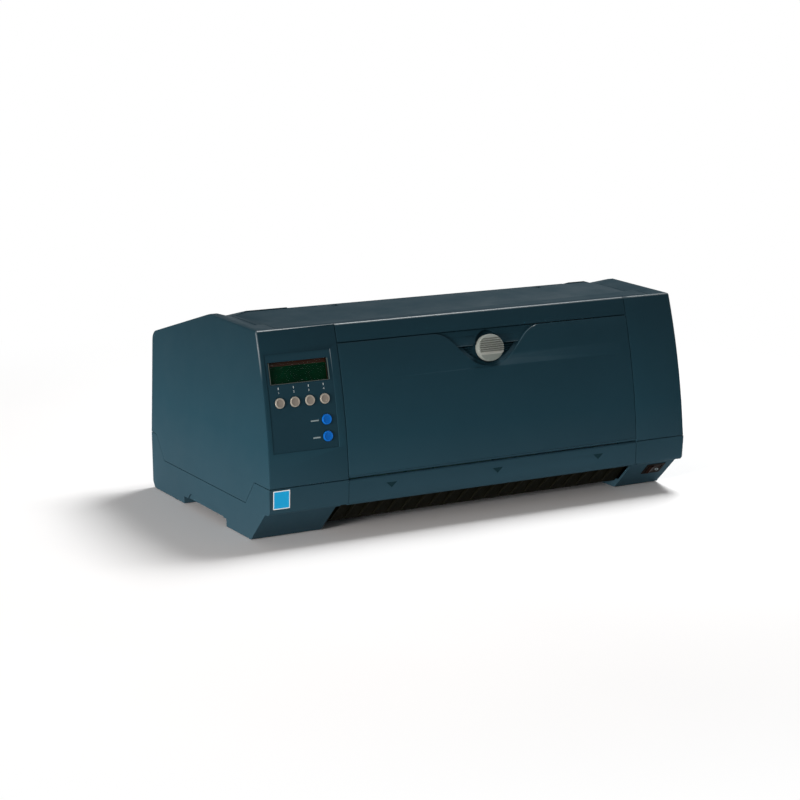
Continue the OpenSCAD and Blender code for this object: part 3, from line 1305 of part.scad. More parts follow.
inlet_body_w = inlet_w + 7;
inlet_body_h = inlet_h + 9;
inlet_z = seam_z - 30;
prong_step = 7;
module power_inlet() color(dark_color) translate([inlet_x, rear_y, inlet_z]) {
  difference() {
    union() {
      block(-inlet_body_w / 2, inlet_body_w / 2, -inlet_d - 4, -0.5, -inlet_body_h / 2,
        inlet_body_h / 2);
      block(-inlet_body_w / 2 - 4, inlet_body_w / 2 + 4, -wall - 3, -wall, -inlet_body_h / 2 - 3,
        inlet_body_h / 2 + 3);
    }
    translate([0, -inlet_d, 0]) rotate([-90, 0, 0]) linear_extrude(far) polygon([
      [inlet_w / 2, inlet_h / 2], [-inlet_w / 2, inlet_h / 2], [-inlet_w / 2, 5 - inlet_h / 2],
      [5 - inlet_w / 2, -inlet_h / 2], [inlet_w / 2 - 5, -inlet_h / 2],
      [inlet_w / 2, 5 - inlet_h / 2]]);
  }
  for (prong = [[-prong_step, -1.5], [0, 2.5], [prong_step, -1.5]])
    block(prong[0] - 1, prong[0] + 1, -inlet_d - 1, -3, prong[1] - 2, prong[1] + 2);
}

base_casing();
upper_casing();
front_crossbar();
top_cover();
rear_cover();
front_door();
latch_knob();
latch_tongue();
paper_flap();
front_guide();
control_panel();
lcd_window();
lcd_module();
panel_board();
grey_key_1();
grey_key_2();
grey_key_3();
grey_key_4();
blue_key_upper();
blue_key_lower();
front_label();
switch_housing();
power_rocker();
rubber_feet();
hinge_pins();
left_side_plate();
right_side_plate();
frame_beams();
bushes();
platen();
platen_gear();
idler_gear();
feed_motor();
feed_pinion();
tractor_shaft();
tractor_rod();
left_tractor();
right_tractor();
left_tractor_flap();
right_tractor_flap();
left_sprocket();
right_sprocket();
carriage_rods();
carriage();
print_head();
carriage_motor();
motor_pulley();
tension_pulley();
toothed_belt();
ribbon_cartridge();
ribbon();
ribbon_knob();
head_gap_lever();
paper_guide();
main_board();
power_supply();
rear_connectors();
power_inlet();
case_screws();
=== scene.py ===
"""Looks of the wide dot matrix printer: casing finish, keypad, display, door latch and mechanism."""
import json
import math

import bmesh
import bpy
from mathutils import Matrix, Vector


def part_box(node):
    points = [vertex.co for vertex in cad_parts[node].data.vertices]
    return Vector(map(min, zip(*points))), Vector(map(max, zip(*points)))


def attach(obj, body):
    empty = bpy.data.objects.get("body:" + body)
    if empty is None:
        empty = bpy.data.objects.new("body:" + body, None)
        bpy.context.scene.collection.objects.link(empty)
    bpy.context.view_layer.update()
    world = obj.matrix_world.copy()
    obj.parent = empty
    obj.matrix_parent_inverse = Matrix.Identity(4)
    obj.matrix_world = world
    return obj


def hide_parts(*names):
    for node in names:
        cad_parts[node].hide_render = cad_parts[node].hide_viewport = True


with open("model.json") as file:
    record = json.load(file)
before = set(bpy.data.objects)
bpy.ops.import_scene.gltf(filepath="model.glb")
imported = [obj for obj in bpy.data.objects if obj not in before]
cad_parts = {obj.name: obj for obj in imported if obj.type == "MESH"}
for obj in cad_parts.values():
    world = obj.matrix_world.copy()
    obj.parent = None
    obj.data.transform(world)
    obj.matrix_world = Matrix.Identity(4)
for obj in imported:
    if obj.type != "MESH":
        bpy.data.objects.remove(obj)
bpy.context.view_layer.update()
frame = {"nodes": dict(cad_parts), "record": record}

MM = 0.001
scene = bpy.context.scene
nodes = frame["nodes"]


# ---------------------------------------------------------------- materials
def new_material(name):
    """An empty Principled material: (material, node tree, shader, object coordinates)."""
    mat = bpy.data.materials.new(name)
    mat.use_nodes = True
    tree = mat.node_tree
    shader = tree.nodes["Principled BSDF"]
    coords = tree.nodes.new("ShaderNodeTexCoord").outputs["Object"]
    return mat, tree, shader, coords


def noise(tree, coords, scale, detail=3.0, stretch=(1, 1, 1)):
    """Noise at a scale in features for each metre, optionally stretched along an axis."""
    if stretch != (1, 1, 1):
        mapping = tree.nodes.new("ShaderNodeMapping")
        mapping.inputs["Scale"].default_value = stretch
        tree.links.new(coords, mapping.inputs["Vector"])
        coords = mapping.outputs["Vector"]
    node = tree.nodes.new("ShaderNodeTexNoise")
    node.inputs["Scale"].default_value = scale
    node.inputs["Detail"].default_value = detail
    tree.links.new(coords, node.inputs["Vector"])
    return node.outputs["Fac"]


def ramp(tree, value, start, end, low=0.0, high=1.0):
    """Maps the stretch from start to end onto the range from low to high."""
    node = tree.nodes.new("ShaderNodeMapRange")
    node.inputs["From Min"].default_value = start
    node.inputs["From Max"].default_value = end
    node.inputs["To Min"].default_value = low
    node.inputs["To Max"].default_value = high
    tree.links.new(value, node.inputs["Value"])
    return node.outputs["Result"]


def span(tree, value, low, high):
    """Maps the middle of a 0 to 1 pattern onto the range from low to high."""
    return ramp(tree, value, 0.3, 0.7, low, high)


def height_above_floor(tree, coords):
    parts = tree.nodes.new("ShaderNodeSeparateXYZ")
    tree.links.new(coords, parts.inputs["Vector"])
    return parts.outputs["Z"]


def combine(tree, operation, first, second):
    """One arithmetic step on two values."""
    node = tree.nodes.new("ShaderNodeMath")
    node.operation = operation
    tree.links.new(first, node.inputs[0])
    tree.links.new(second, node.inputs[1])
    return node.outputs[0]


def blend(tree, factor, low, high):
    """A colour between two colours, by a 0 to 1 pattern."""
    node = tree.nodes.new("ShaderNodeValToRGB")
    node.color_ramp.elements[0].position = 0.32
    node.color_ramp.elements[1].position = 0.68
    node.color_ramp.elements[0].color = (*low, 1)
    node.color_ramp.elements[1].color = (*high, 1)
    tree.links.new(factor, node.inputs["Fac"])
    return node.outputs["Color"]


def bump(tree, shader, height, strength, distance):
    node = tree.nodes.new("ShaderNodeBump")
    node.inputs["Strength"].default_value = strength
    node.inputs["Distance"].default_value = distance
    tree.links.new(height, node.inputs["Height"])
    tree.links.new(node.outputs["Normal"], shader.inputs["Normal"])


def shaded(colour, share):
    return tuple(min(1.0, c * share) for c in colour)


def moulded_plastic(name, colour, rough=0.5, grain=1800, depth=0.00003, vary=0.06, specular=0.1):
    """Moulded plastic: a fine spark-eroded grain, with slightly uneven colour and gloss."""
    mat, tree, shader, coords = new_material(name)
    patches = noise(tree, coords, 9, 4)
    tone = blend(tree, patches, shaded(colour, 1 - vary), shaded(colour, 1 + vary))
    tree.links.new(tone, shader.inputs["Base Color"])
    gloss = noise(tree, coords, 30, 5)
    tree.links.new(span(tree, gloss, rough - 0.05, rough + 0.05), shader.inputs["Roughness"])
    shader.inputs["Specular IOR Level"].default_value = specular
    bump(tree, shader, noise(tree, coords, grain, 2), 0.35, depth)
    return mat


EDGE_HEIGHTS = (0.17, 0.245)
EDGE_ROUGHNESS = (0.68, 0.36)
EDGE_SPECULAR = (0.055, 0.5)


def edge_plastic(name, colour, highlight_colour):
    """Casing plastic for rounded edges: glossier towards the top, and paler there as a painted
    highlight.
    """
    mat, tree, shader, coords = new_material(name)
    height = ramp(tree, height_above_floor(tree, coords), *EDGE_HEIGHTS)
    share = combine(tree, "MULTIPLY", height, span(tree, noise(tree, coords, 40), 0.75, 1.0))
    tree.links.new(blend(tree, share, colour, highlight_colour), shader.inputs["Base Color"])
    tree.links.new(span(tree, share, *EDGE_ROUGHNESS), shader.inputs["Roughness"])
    tree.links.new(span(tree, share, *EDGE_SPECULAR), shader.inputs["Specular IOR Level"])
    return mat


CASING_TOP = 0.25
# Painted light from below: the colour's share from the foot to the top of the casing, and a paler,
# redder tint near the foot.
PAINTED_LIGHT_SHARE = (2.05, 0.85)
PAINTED_TINT_BELOW = 0.12
PAINTED_LIGHT_TINT = (0.012, 0.006, 0.004)


def paler_low_down(mat):
    """Paints light from below into a material's colour: paler and a little redder towards the foot, a
    little darker at the top.
    """
    tree = mat.node_tree
    target = tree.nodes["Principled BSDF"].inputs["Base Color"]
    height = height_above_floor(tree, tree.nodes.new("ShaderNodeTexCoord").outputs["Object"])
    scaled = tree.nodes.new("ShaderNodeVectorMath")
    scaled.operation = "SCALE"
    tree.links.new(target.links[0].from_socket, scaled.inputs[0])
    tree.links.new(ramp(tree, height, 0.0, CASING_TOP, *PAINTED_LIGHT_SHARE), scaled.inputs["Scale"])
    tinted = tree.nodes.new("ShaderNodeVectorMath")
    tinted.operation = "MULTIPLY_ADD"
    tinted.inputs[0].default_value = PAINTED_LIGHT_TINT
    tree.links.new(ramp(tree, height, PAINTED_TINT_BELOW, 0.0), tinted.inputs[1])
    tree.links.new(scaled.outputs["Vector"], tinted.inputs[2])
    tree.links.new(tinted.outputs["Vector"], target)


def drawn_metal(name, colour, rough=0.35, along=(1, 30, 30), metallic=1.0):
    """Rolled or drawn metal, with fine lines along one axis."""
    mat, tree, shader, coords = new_material(name)
    lines = noise(tree, coords, 60, 4, along)
    tree.links.new(blend(tree, lines, shaded(colour, 0.86), shaded(colour, 1.06)),
                   shader.inputs["Base Color"])
    tree.links.new(span(tree, lines, rough - 0.08, rough + 0.08), shader.inputs["Roughness"])
    shader.inputs["Metallic"].default_value = metallic
    bump(tree, shader, lines, 0.15, 0.00003)
    return mat


def matt_rubber(name, colour):
    """Rubber with a dusty bloom and a fine ground surface."""
    mat, tree, shader, coords = new_material(name)
    dust = noise(tree, coords, 40, 6)
    tree.links.new(blend(tree, dust, colour, shaded(colour, 1.9)), shader.inputs["Base Color"])
    tree.links.new(span(tree, dust, 0.72, 0.9), shader.inputs["Roughness"])
    bump(tree, shader, noise(tree, coords, 2500, 2, (1, 3, 3)), 0.4, 0.00004)
    return mat


def circuit_board(name):
    """Green solder resist with copper tracks under it."""
    mat, tree, shader, coords = new_material(name)
    tracks = tree.nodes.new("ShaderNodeTexBrick")
    tracks.inputs["Scale"].default_value = 90
    tracks.inputs["Mortar Size"].default_value = 0.07
    tracks.inputs["Color1"].default_value = (0.008, 0.075, 0.03, 1)
    tracks.inputs["Color2"].default_value = (0.010, 0.09, 0.035, 1)
    tracks.inputs["Mortar"].default_value = (0.03, 0.16, 0.06, 1)
    tree.links.new(coords, tracks.inputs["Vector"])
    tree.links.new(tracks.outputs["Color"], shader.inputs["Base Color"])
    tree.links.new(span(tree, noise(tree, coords, 50), 0.25, 0.4), shader.inputs["Roughness"])
    bump(tree, shader, tracks.outputs["Fac"], 0.2, 0.00005)
    return mat


def inked_weave(name):
    """Inked nylon ribbon with a fine weave."""
    mat, tree, shader, coords = new_material(name)
    weave = tree.nodes.new("ShaderNodeTexWave")
    weave.inputs["Scale"].default_value = 900
    tree.links.new(coords, weave.inputs["Vector"])
    tree.links.new(blend(tree, weave.outputs["Fac"], (0.008, 0.008, 0.012), (0.03, 0.03, 0.04)),
                   shader.inputs["Base Color"])
    shader.inputs["Roughness"].default_value = 0.6
    bump(tree, shader, weave.outputs["Fac"], 0.3, 0.00005)
    return mat


def clear_window(name):
    """Thin clear window, very slightly green, with faint rub marks."""
    mat, tree, shader, coords = new_material(name)
    rubs = noise(tree, coords, 80, 6, (1, 1, 5))
    tree.links.new(blend(tree, rubs, (0.001, 0.012, 0.005), (0.003, 0.02, 0.01)),
                   shader.inputs["Base Color"])
    tree.links.new(span(tree, rubs, 0.03, 0.1), shader.inputs["Roughness"])
    shader.inputs["Alpha"].default_value = 0.06
    shader.inputs["Specular IOR Level"].default_value = 0.12
    return mat


def display_glass(name):
    """Unlit green display: dark glass with faint clouds."""
    mat, tree, shader, coords = new_material(name)
    clouds = noise(tree, coords, 14, 2)
    tree.links.new(blend(tree, clouds, (0.0, 0.013, 0.0045), (0.0005, 0.027, 0.0095)),
                   shader.inputs["Base Color"])
    tree.links.new(span(tree, noise(tree, coords, 200), 0.12, 0.2), shader.inputs["Roughness"])
    shader.inputs["Specular IOR Level"].default_value = 0.02
    bump(tree, shader, clouds, 0.05, 0.0001)
    return mat


CASING_BLUE = (0.0068, 0.0255, 0.0365)
casing_plastic = moulded_plastic("casing_plastic", CASING_BLUE, 0.68, 1500, 0.00003, 0.025, 0.055)
# The edge finish's paler colour towards the top is a painted highlight.
casing_edge_painted_highlight = edge_plastic("casing_edge_painted_highlight", CASING_BLUE, (0.014, 0.036, 0.048))
# Both casing finishes get painted light from below: paler low down, darker at the top.
for finish in (casing_plastic, casing_edge_painted_highlight):
    paler_low_down(finish)
panel_plastic = moulded_plastic("panel_plastic", (0.009, 0.0305, 0.0435), 0.6, 2200, 0.00002, 0.03, 0.05)
black_plastic = moulded_plastic("black_plastic", (0.012, 0.012, 0.013), 0.45, 1500)
guide_plastic = moulded_plastic("guide_plastic", (0.007, 0.007, 0.004), 0.6, 1500, specular=0.05)
knob_plastic = moulded_plastic("knob_plastic", (0.205, 0.225, 0.207), 0.42, 2600, 0.00002, 0.04)
# Darker knob finishes for the grooves and the lip are painted shade; the paler ridge finish is a painted
# highlight.
knob_groove = moulded_plastic("knob_groove", (0.145, 0.158, 0.142), 0.6, 2600, 0.00002, 0.1)
knob_lip = moulded_plastic("knob_lip", (0.158, 0.18, 0.165), 0.5, 2600, 0.00002, 0.06)
knob_ridge_painted_highlight = moulded_plastic("knob_ridge_painted_highlight", (0.27, 0.28, 0.255), 0.4, 2600, 0.00002, 0.04)
grey_key_plastic = moulded_plastic("grey_key_plastic", (0.26, 0.245, 0.21), 0.4, 2600, 0.00002, 0.04)
blue_key_plastic = moulded_plastic("blue_key_plastic", (0.002, 0.108, 0.42), 0.35, 2600, 0.00002, 0.05)
# Darker dish finishes for the keys: painted shade in the dish.
grey_key_dish_painted_shade = moulded_plastic("grey_key_dish_painted_shade", (0.19, 0.17, 0.145), 0.5, 2600, 0.00003, 0.12)
blue_key_dish_painted_shade = moulded_plastic("blue_key_dish_painted_shade", (0.001, 0.092, 0.375), 0.4, 2600, 0.00003, 0.1)
print_white = moulded_plastic("print_white", (0.55, 0.62, 0.64), 0.5, 3000, 0.00001, 0.05)
print_grey = moulded_plastic("print_grey", (0.22, 0.27, 0.28), 0.5, 3000, 0.00001, 0.05)
# Pale finish for the window's edges: a painted highlight.
window_edge_painted_highlight = moulded_plastic("window_edge_painted_highlight", (0.065, 0.09, 0.078), 0.3, 300, 0.00004, 0.5, 0.4)
display_bezel = moulded_plastic("display_bezel", (0.022, 0.006, 0.003), 0.35, 2600, 0.00001, 0.1)
label_blue = moulded_plastic("label_blue", (0.008, 0.33, 0.63), 0.3, 3000, 0.00001, 0.05)
label_white = moulded_plastic("label_white", (0.75, 0.78, 0.78), 0.35, 3000, 0.00001, 0.04)
rocker_plastic = moulded_plastic("rocker_plastic", (0.010, 0.005, 0.004), 0.5, 2600, 0.00001, 0.06, 0.04)
switch_black = moulded_plastic("switch_black", (0.008, 0.006, 0.005), 0.6, 2600, 0.00001, 0.06, 0.04)
white_plastic = moulded_plastic("white_plastic", (0.62, 0.6, 0.52), 0.45, 2000, 0.00002)
green_plastic = moulded_plastic("green_plastic", (0.03, 0.25, 0.12), 0.4, 2000, 0.00002)
dark_rubber = matt_rubber("dark_rubber", (0.013, 0.013, 0.014))
zinc_steel = drawn_metal("zinc_steel", (0.56, 0.57, 0.58), 0.38)
ground_rod = drawn_metal("ground_rod", (0.68, 0.68, 0.69), 0.2)
dark_steel = drawn_metal("dark_steel", (0.03, 0.03, 0.033), 0.5, (1, 6, 6), 0.2)
pulley_brass = drawn_metal("pulley_brass", (0.72, 0.5, 0.22), 0.3)
mark_shade = moulded_plastic("mark_shade", (0.007, 0.024, 0.031), 0.8, 900, 0.0001, 0.1, 0.02)
board_green = circuit_board("board_green")
ribbon_weave = inked_weave("ribbon_weave")
window_clear = clear_window("window_clear")
display_green = display_glass("display_green")

SLOT_MATERIALS = {
    "casing_plastic": casing_plastic, "panel_plastic": panel_plastic,
    "black_plastic": black_plastic, "knob_plastic": knob_plastic,
    "grey_key_plastic": grey_key_plastic, "blue_key_plastic": blue_key_plastic,
    "window": window_clear, "display": display_green, "board": board_green,
    "label_film": label_blue, "rocker_plastic": rocker_plastic, "rubber": dark_rubber,
    "ribbon_fabric": ribbon_weave, "steel": zinc_steel, "dark_steel": dark_steel,
    "white_plastic": white_plastic, "green_plastic": green_plastic,
    "pulley_brass": pulley_brass,
}
NODE_MATERIALS = {"front_guide": guide_plastic, "carriage_rods": ground_rod,
                  "tractor_rod": ground_rod, "tractor_shaft": ground_rod,
                  "switch_housing": switch_black}
slot_of = {entry["node"]: entry["material_slot"] for entry in frame["record"]["subparts"]}
body_of = {name: body for body, members in frame["record"]["behaviour"]["bodies"].items()
           for name in members}


def dress_nodes():
    """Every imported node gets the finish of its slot, or one of its own."""
    for name, obj in nodes.items():
        finish = NODE_MATERIALS.get(name, SLOT_MATERIALS[slot_of[name]])
        obj.data.materials.clear()
        obj.data.materials.append(finish)


dress_nodes()


# ---------------------------------------------------------------- bowed front
BOW_RADIUS = 760 * MM
BOW_Y = 595.889 * MM
BOW_Z = -5.941 * MM
DOOR_X = 15.5 * MM


def bow_tilt(z):
    return math.asin((z - BOW_Z) / BOW_RADIUS)


def bow_face(z):
    return BOW_Y - math.sqrt(BOW_RADIUS ** 2 - (z - BOW_Z) ** 2)


def frame_at(place, out, up):
    """A placement with Y along up and Z along out."""
    out = Vector(out).normalized()
    up = Vector(up).normalized()
    turn = Matrix((up.cross(out), up, out)).transposed()
    return Matrix.Translation(place) @ turn.to_4x4()


def on_front(x, z, out=0.0):
    """A placement on the bowed front: X across, Y up the face, Z straight out of it."""
    tilt = bow_tilt(z)
    place = frame_at((x, bow_face(z), z), (0, -math.cos(tilt), math.sin(tilt)),
                     (0, math.sin(tilt), math.cos(tilt)))
    return place @ Matrix.Translation((0, 0, out))


# ---------------------------------------------------------------- softened casing pieces
def placed(name, bm, material, body, replaced=()):
    """Turns a bmesh that is already in place into a piece that rides on a body."""
    mesh = bpy.data.meshes.new(name)
    bm.to_mesh(mesh)
    bm.free()
    for finish in material if isinstance(material, tuple) else (material,):
        mesh.materials.append(finish)
    piece = bpy.data.objects.new(name, mesh)
    scene.collection.objects.link(piece)
    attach(piece, body)
    if replaced:
        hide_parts(*replaced)
    return piece


SOFT_ANGLE = 28
SOFT_STEPS = 2


def add_bevel(piece, width):
    """Rounds the sharp edges of a piece."""
    bevel = piece.modifiers.new("edge_round", "BEVEL")
    bevel.width = width
    bevel.segments = SOFT_STEPS
    bevel.limit_method = "ANGLE"
    bevel.angle_limit = math.radians(SOFT_ANGLE)
    bevel.use_clamp_overlap = True
    bevel.harden_normals = True


def shade_by_angle(mesh, angle=SOFT_ANGLE):
    """Smooth shading, with edges sharper than the angle kept sharp."""
    for face in mesh.polygons:
        face.use_smooth = True
    mesh.set_sharp_from_angle(angle=math.radians(angle))


BOW_TOLERANCE = 0.08 * MM
FRONT_TOP_Z = 251.9 * MM
FRONT_SIDE_X = 294 * MM


def on_bow(vert):
    """Whether a point lies in the bowed front surface."""
    reach = math.hypot(vert.co.y - BOW_Y, vert.co.z - BOW_Z)
    return abs(reach - BOW_RADIUS) < BOW_TOLERANCE


def is_corner(edge):
    """The long outer edges of the front: along its top and down its two sides."""
    along_top = all(v.co.z > FRONT_TOP_Z for v in edge.verts)
    down_side = all(abs(v.co.x) > FRONT_SIDE_X for v in edge.verts)
    return along_top or down_side


CORNER_ROLL = 1.7 * MM
OPENING_ROLL = 0.7 * MM
ROLL_STEPS = 4
SHARP_TURN = math.radians(35)
SCOOP_RIGHT_X = (DOOR_X + 22 * MM, DOOR_X + 80 * MM)
SCOOP_RIGHT_Z = (190 * MM, 229.5 * MM)
PANEL_RIGHT_X = -205 * MM


def catches_light(edge):
    """The right-hand edges of the scoop and of the control panel's recess, which take the painted
    highlight.
    """
    in_scoop = all(SCOOP_RIGHT_X[0] < v.co.x < SCOOP_RIGHT_X[1]
                   and SCOOP_RIGHT_Z[0] < v.co.z < SCOOP_RIGHT_Z[1] for v in edge.verts)
    beside_panel = all(abs(v.co.x - PANEL_RIGHT_X) < 0.2 * MM for v in edge.verts)
    return in_scoop or beside_panel


def roll_front_edges(bm):
    """Rounds the edges of the bowed front: wide at its outer corners, fine at its openings. The outer
    corners and the edges that catch light take the edge finish with its painted highlight.
    """
    for corner, width in ((True, CORNER_ROLL), (False, OPENING_ROLL)):
        lines = [edge for edge in bm.edges if len(edge.link_faces) == 2 and edge.is_convex
                 and edge.calc_face_angle(0) > SHARP_TURN
                 and all(on_bow(v) for v in edge.verts) and is_corner(edge) == corner]
        highlight_edges = [edge for edge in lines if corner or catches_light(edge)]
        for group, finish in ((highlight_edges, 1), ([e for e in lines if e not in highlight_edges], 0)):
            group = [edge for edge in group if edge.is_valid]
            if group:
                bmesh.ops.bevel(bm, geom=group, offset=width, offset_type="OFFSET",
                                segments=ROLL_STEPS, profile=0.5, affect="EDGES",
                                clamp_overlap=False, material=finish)


MERGE_REACH = 0.002 * MM
FLAT_TURN = math.radians(0.4)


def softened(node, width):
    """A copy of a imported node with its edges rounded, which stands for the node."""
    bm = bmesh.new()
    bm.from_mesh(nodes[node].data)
    bmesh.ops.remove_doubles(bm, verts=bm.verts, dist=MERGE_REACH)
    bmesh.ops.dissolve_limit(bm, angle_limit=FLAT_TURN, verts=bm.verts, edges=bm.edges,
                             use_dissolve_boundaries=False, delimit={"NORMAL"})
    material = nodes[node].data.materials[0]
    if material is casing_plastic:
        roll_front_edges(bm)
        material = (casing_plastic, casing_edge_painted_highlight)
    piece = placed(node + "_soft", bm, material, body_of[node], [node])
    shade_by_angle(piece.data)
    add_bevel(piece, width)


for node, width in {"base_casing": 0.8, "upper_casing": 0.8, "front_crossbar": 0.7,
                    "top_cover": 0.7, "rear_cover": 0.6, "front_door": 0.7, "paper_flap": 0.7,
                    "control_panel": 0.3, "lcd_window": 0.3, "switch_housing": 0.4,
                    "power_rocker": 0.5}.items():
    softened(node, width * MM)


# ---------------------------------------------------------------- shaping
def turned(profile, steps=48):
    """A turned shape about Z from (radius, height) points in millimetres, axis to axis."""
    bm = bmesh.new()
    points = [bm.verts.new((radius * MM, 0, height * MM)) for radius, height in profile]
    lines = [bm.edges.new(pair) for pair in zip(points, points[1:])]
    bmesh.ops.spin(bm, geom=points + lines, cent=(0, 0, 0), axis=(0, 0, 1),
                   angle=math.tau, steps=steps, use_merge=True, use_duplicate=False)
    bmesh.ops.remove_doubles(bm, verts=bm.verts, dist=0.001 * MM)
    bmesh.ops.recalc_face_normals(bm, faces=bm.faces)
    return bm


def rounded_block(size, edge, segments=2):
    """A block centred on the origin with rounded edges; sizes in millimetres."""
    bm = bmesh.new()
    bmesh.ops.create_cube(bm, size=1.0)
    bmesh.ops.scale(bm, vec=[side * MM for side in size], verts=bm.verts)
    bmesh.ops.bevel(bm, geom=bm.edges[:], offset=edge * MM, offset_type="OFFSET",
                    segments=segments, profile=0.5, affect="EDGES", material=-1,
                    clamp_overlap=True)
    return bm


def add_shape(bm, shape, middle):
    """Adds a shape to a mesh, moved by millimetres, and frees it."""
    shape.transform(Matrix.Translation([m * MM for m in middle]))
    held = bpy.data.meshes.new("shape")
    shape.to_mesh(held)
    shape.free()
    bm.from_mesh(held)
    bpy.data.meshes.remove(held)


def finish_mesh(piece, angle=30):
    """Smooth shading for a modelled piece, up to the angle."""
    shade_by_angle(piece.data, angle)


# ---------------------------------------------------------------- keys
DISH_RIM = 4.7


def dished_key(name, x, z, radius, plastic, dish):
    """A round key with a raised ring, a dished middle, and its flange and foot behind."""
    flange = radius + 1.4
    profile = [(0, -7.4), (3, -7.4), (3, -4), (flange, -4), (flange, -2.8), (radius, -2.8),
               (radius, 0.6), (radius - 0.12, 0.95), (radius - 0.4, 1.2), (radius - 0.75, 1.28),
               (DISH_RIM + 0.2, 1.26), (DISH_RIM, 1.15), (DISH_RIM - 0.25, 0.95), (3, 0.78), (0, 0.7)]
    bm = turned(profile)
    # Faces in the dish take the darker finish, painted shade in the dish.
    for face in bm.faces:
        middle = face.calc_center_median()
        if middle.z > 0.5 * MM and math.hypot(middle.x, middle.y) < (DISH_RIM - 0.1) * MM:
            face.material_index = 1
    bm.transform(on_front(x, z))
    finish_mesh(placed(name + "_cap", bm, (plastic, dish), body_of[name], [name]))


GREY_KEY_Z = 170 * MM
KEY_PITCH = 19.75 * MM
FIRST_KEY_X = -278.1 * MM
BLUE_KEY_X = FIRST_KEY_X + 3 * KEY_PITCH
BLUE_KEYS = {"blue_key_upper": 146.3 * MM, "blue_key_lower": 126.9 * MM}
for count in range(4):
    dished_key("grey_key_%d" % (count + 1), FIRST_KEY_X + count * KEY_PITCH, GREY_KEY_Z, 6.0,
               grey_key_plastic, grey_key_dish_painted_shade)
for node, height in BLUE_KEYS.items():
    dished_key(node, BLUE_KEY_X, height, 6.1, blue_key_plastic, blue_key_dish_painted_shade)


# ---------------------------------------------------------------- print on the panel
PANEL_FACE = -0.5 * MM
PRINT_HALF = 0.06 * MM
DIGIT_SIZE = 3.2 * MM
DIGIT_Z = 181.6 * MM
TICK_Z = 186.6 * MM


def printed_digit(number, x, z):
    """A small digit printed on the panel."""
    curve = bpy.data.curves.new("digit", "FONT")
    curve.body = str(number)
    curve.size = DIGIT_SIZE
    curve.extrude = PRINT_HALF
    curve.align_x = "CENTER"
    curve.align_y = "CENTER"
    holder = bpy.data.objects.new("digit", curve)
    bm = bmesh.new()
    bm.from_mesh(bpy.data.meshes.new_from_object(holder))
    bpy.data.objects.remove(holder)
    bm.transform(on_front(x, z, PANEL_FACE))
    placed("key_digit_%d" % number, bm, print_white, "casing")


def printed_bar(name, x, z, width, height, finish):
    """A short plain bar printed on the panel; sizes in millimetres."""
    bm = rounded_block((width, height, 2 * PRINT_HALF / MM), 0.05, 1)
    bm.transform(on_front(x, z, PANEL_FACE))
    placed(name, bm, finish, "casing")


for count in range(4):
    key_x = FIRST_KEY_X + count * KEY_PITCH
    printed_digit(count + 1, key_x, DIGIT_Z)
    printed_bar("key_tick_%d" % (count + 1), key_x, TICK_Z, 0.7, 2.6, print_white)
printed_bar("upper_key_bar", -234.6 * MM, 146 * MM, 10.6, 1.5, print_grey)
printed_bar("lower_key_bar", -233.6 * MM, 126.4 * MM, 9.4, 1.7, print_grey)


# ---------------------------------------------------------------- front label
def rimmed_label():
    """A square label with a pale rim, let into the front edge."""
    low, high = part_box("front_label")
    side = high[0] - low[0]
    middle = Vector([(a + b) / 2 for a, b in zip(low, high)])
    bm = bmesh.new()
    bmesh.ops.create_cube(bm, size=1.0)
    bmesh.ops.scale(bm, vec=(side, side, high[1] - low[1] - 0.02 * MM), verts=bm.verts)
    front = [face for face in bm.faces if face.normal.z > 0.9]
    bmesh.ops.bevel(bm, geom=list({edge for face in front for edge in face.edges}),
                    offset=0.12 * MM, offset_type="OFFSET", segments=2, profile=0.5,
                    affect="EDGES", material=-1)
    front = [max((face for face in bm.faces if face.normal.z > 0.9), key=lambda f: f.calc_area())]
    bmesh.ops.inset_region(bm, faces=front, thickness=1.3 * MM, depth=0)
    for face in front:
        face.material_index = 1
    bm.transform(frame_at(middle, (0, -1, 0), (0, 0, 1)))
    placed("front_label_film", bm, (label_white, label_blue), "casing", ["front_label"])


rimmed_label()


# ---------------------------------------------------------------- display
LCD_X = (-291.5 + 86.5 / 2 - 0.75) * MM
LCD_Z = 203.5 * MM
LCD_BACK = -3.9
LCD_SIZE = (78.6, 27.4, 4.0)
BEZEL_LEFT, BEZEL_RIGHT, BEZEL_LOWER, BEZEL_TOP = 3.0, 1.2, 1.6, 5.6


def display_unit():
    """The display behind its window: a green field in a red-brown bezel."""
    width, height, depth = LCD_SIZE
    left, right = BEZEL_LEFT - width / 2, width / 2 - BEZEL_RIGHT
    lower, upper = BEZEL_LOWER - height / 2, height / 2 - BEZEL_TOP
    bm = rounded_block((width, height, depth), 0.3)
    bmesh.ops.translate(bm, vec=(0, 0, (LCD_BACK - depth / 2) * MM), verts=bm.verts)
    for co, no in (((left, 0, 0), (1, 0, 0)), ((right, 0, 0), (1, 0, 0)),
                   ((0, upper, 0), (0, 1, 0)), ((0, lower, 0), (0, 1, 0))):
        bmesh.ops.bisect_plane(bm, geom=bm.verts[:] + bm.edges[:] + bm.faces[:], dist=0.0001 * MM,
                               plane_co=[c * MM for c in co], plane_no=no)
    screen = []
    for face in bm.faces:
        middle = face.calc_center_median() / MM
        if face.normal.z > 0.9 and left < middle.x < right and lower < middle.y < upper:
            screen.append(face)
    bmesh.ops.inset_region(bm, faces=screen, thickness=0.15 * MM, depth=-0.25 * MM)
    for face in screen:
        face.material_index = 1
    bm.transform(on_front(LCD_X, LCD_Z))
    finish_mesh(placed("lcd_unit", bm, (display_bezel, display_green), "casing", ["lcd_module"]))


display_unit()


WINDOW_RIMS = (("left", -38.6, 0, 0.7, 25), ("right", 38.5, 0, 0.9, 25),
               ("lower", 0, -12.7, 76, 0.45))


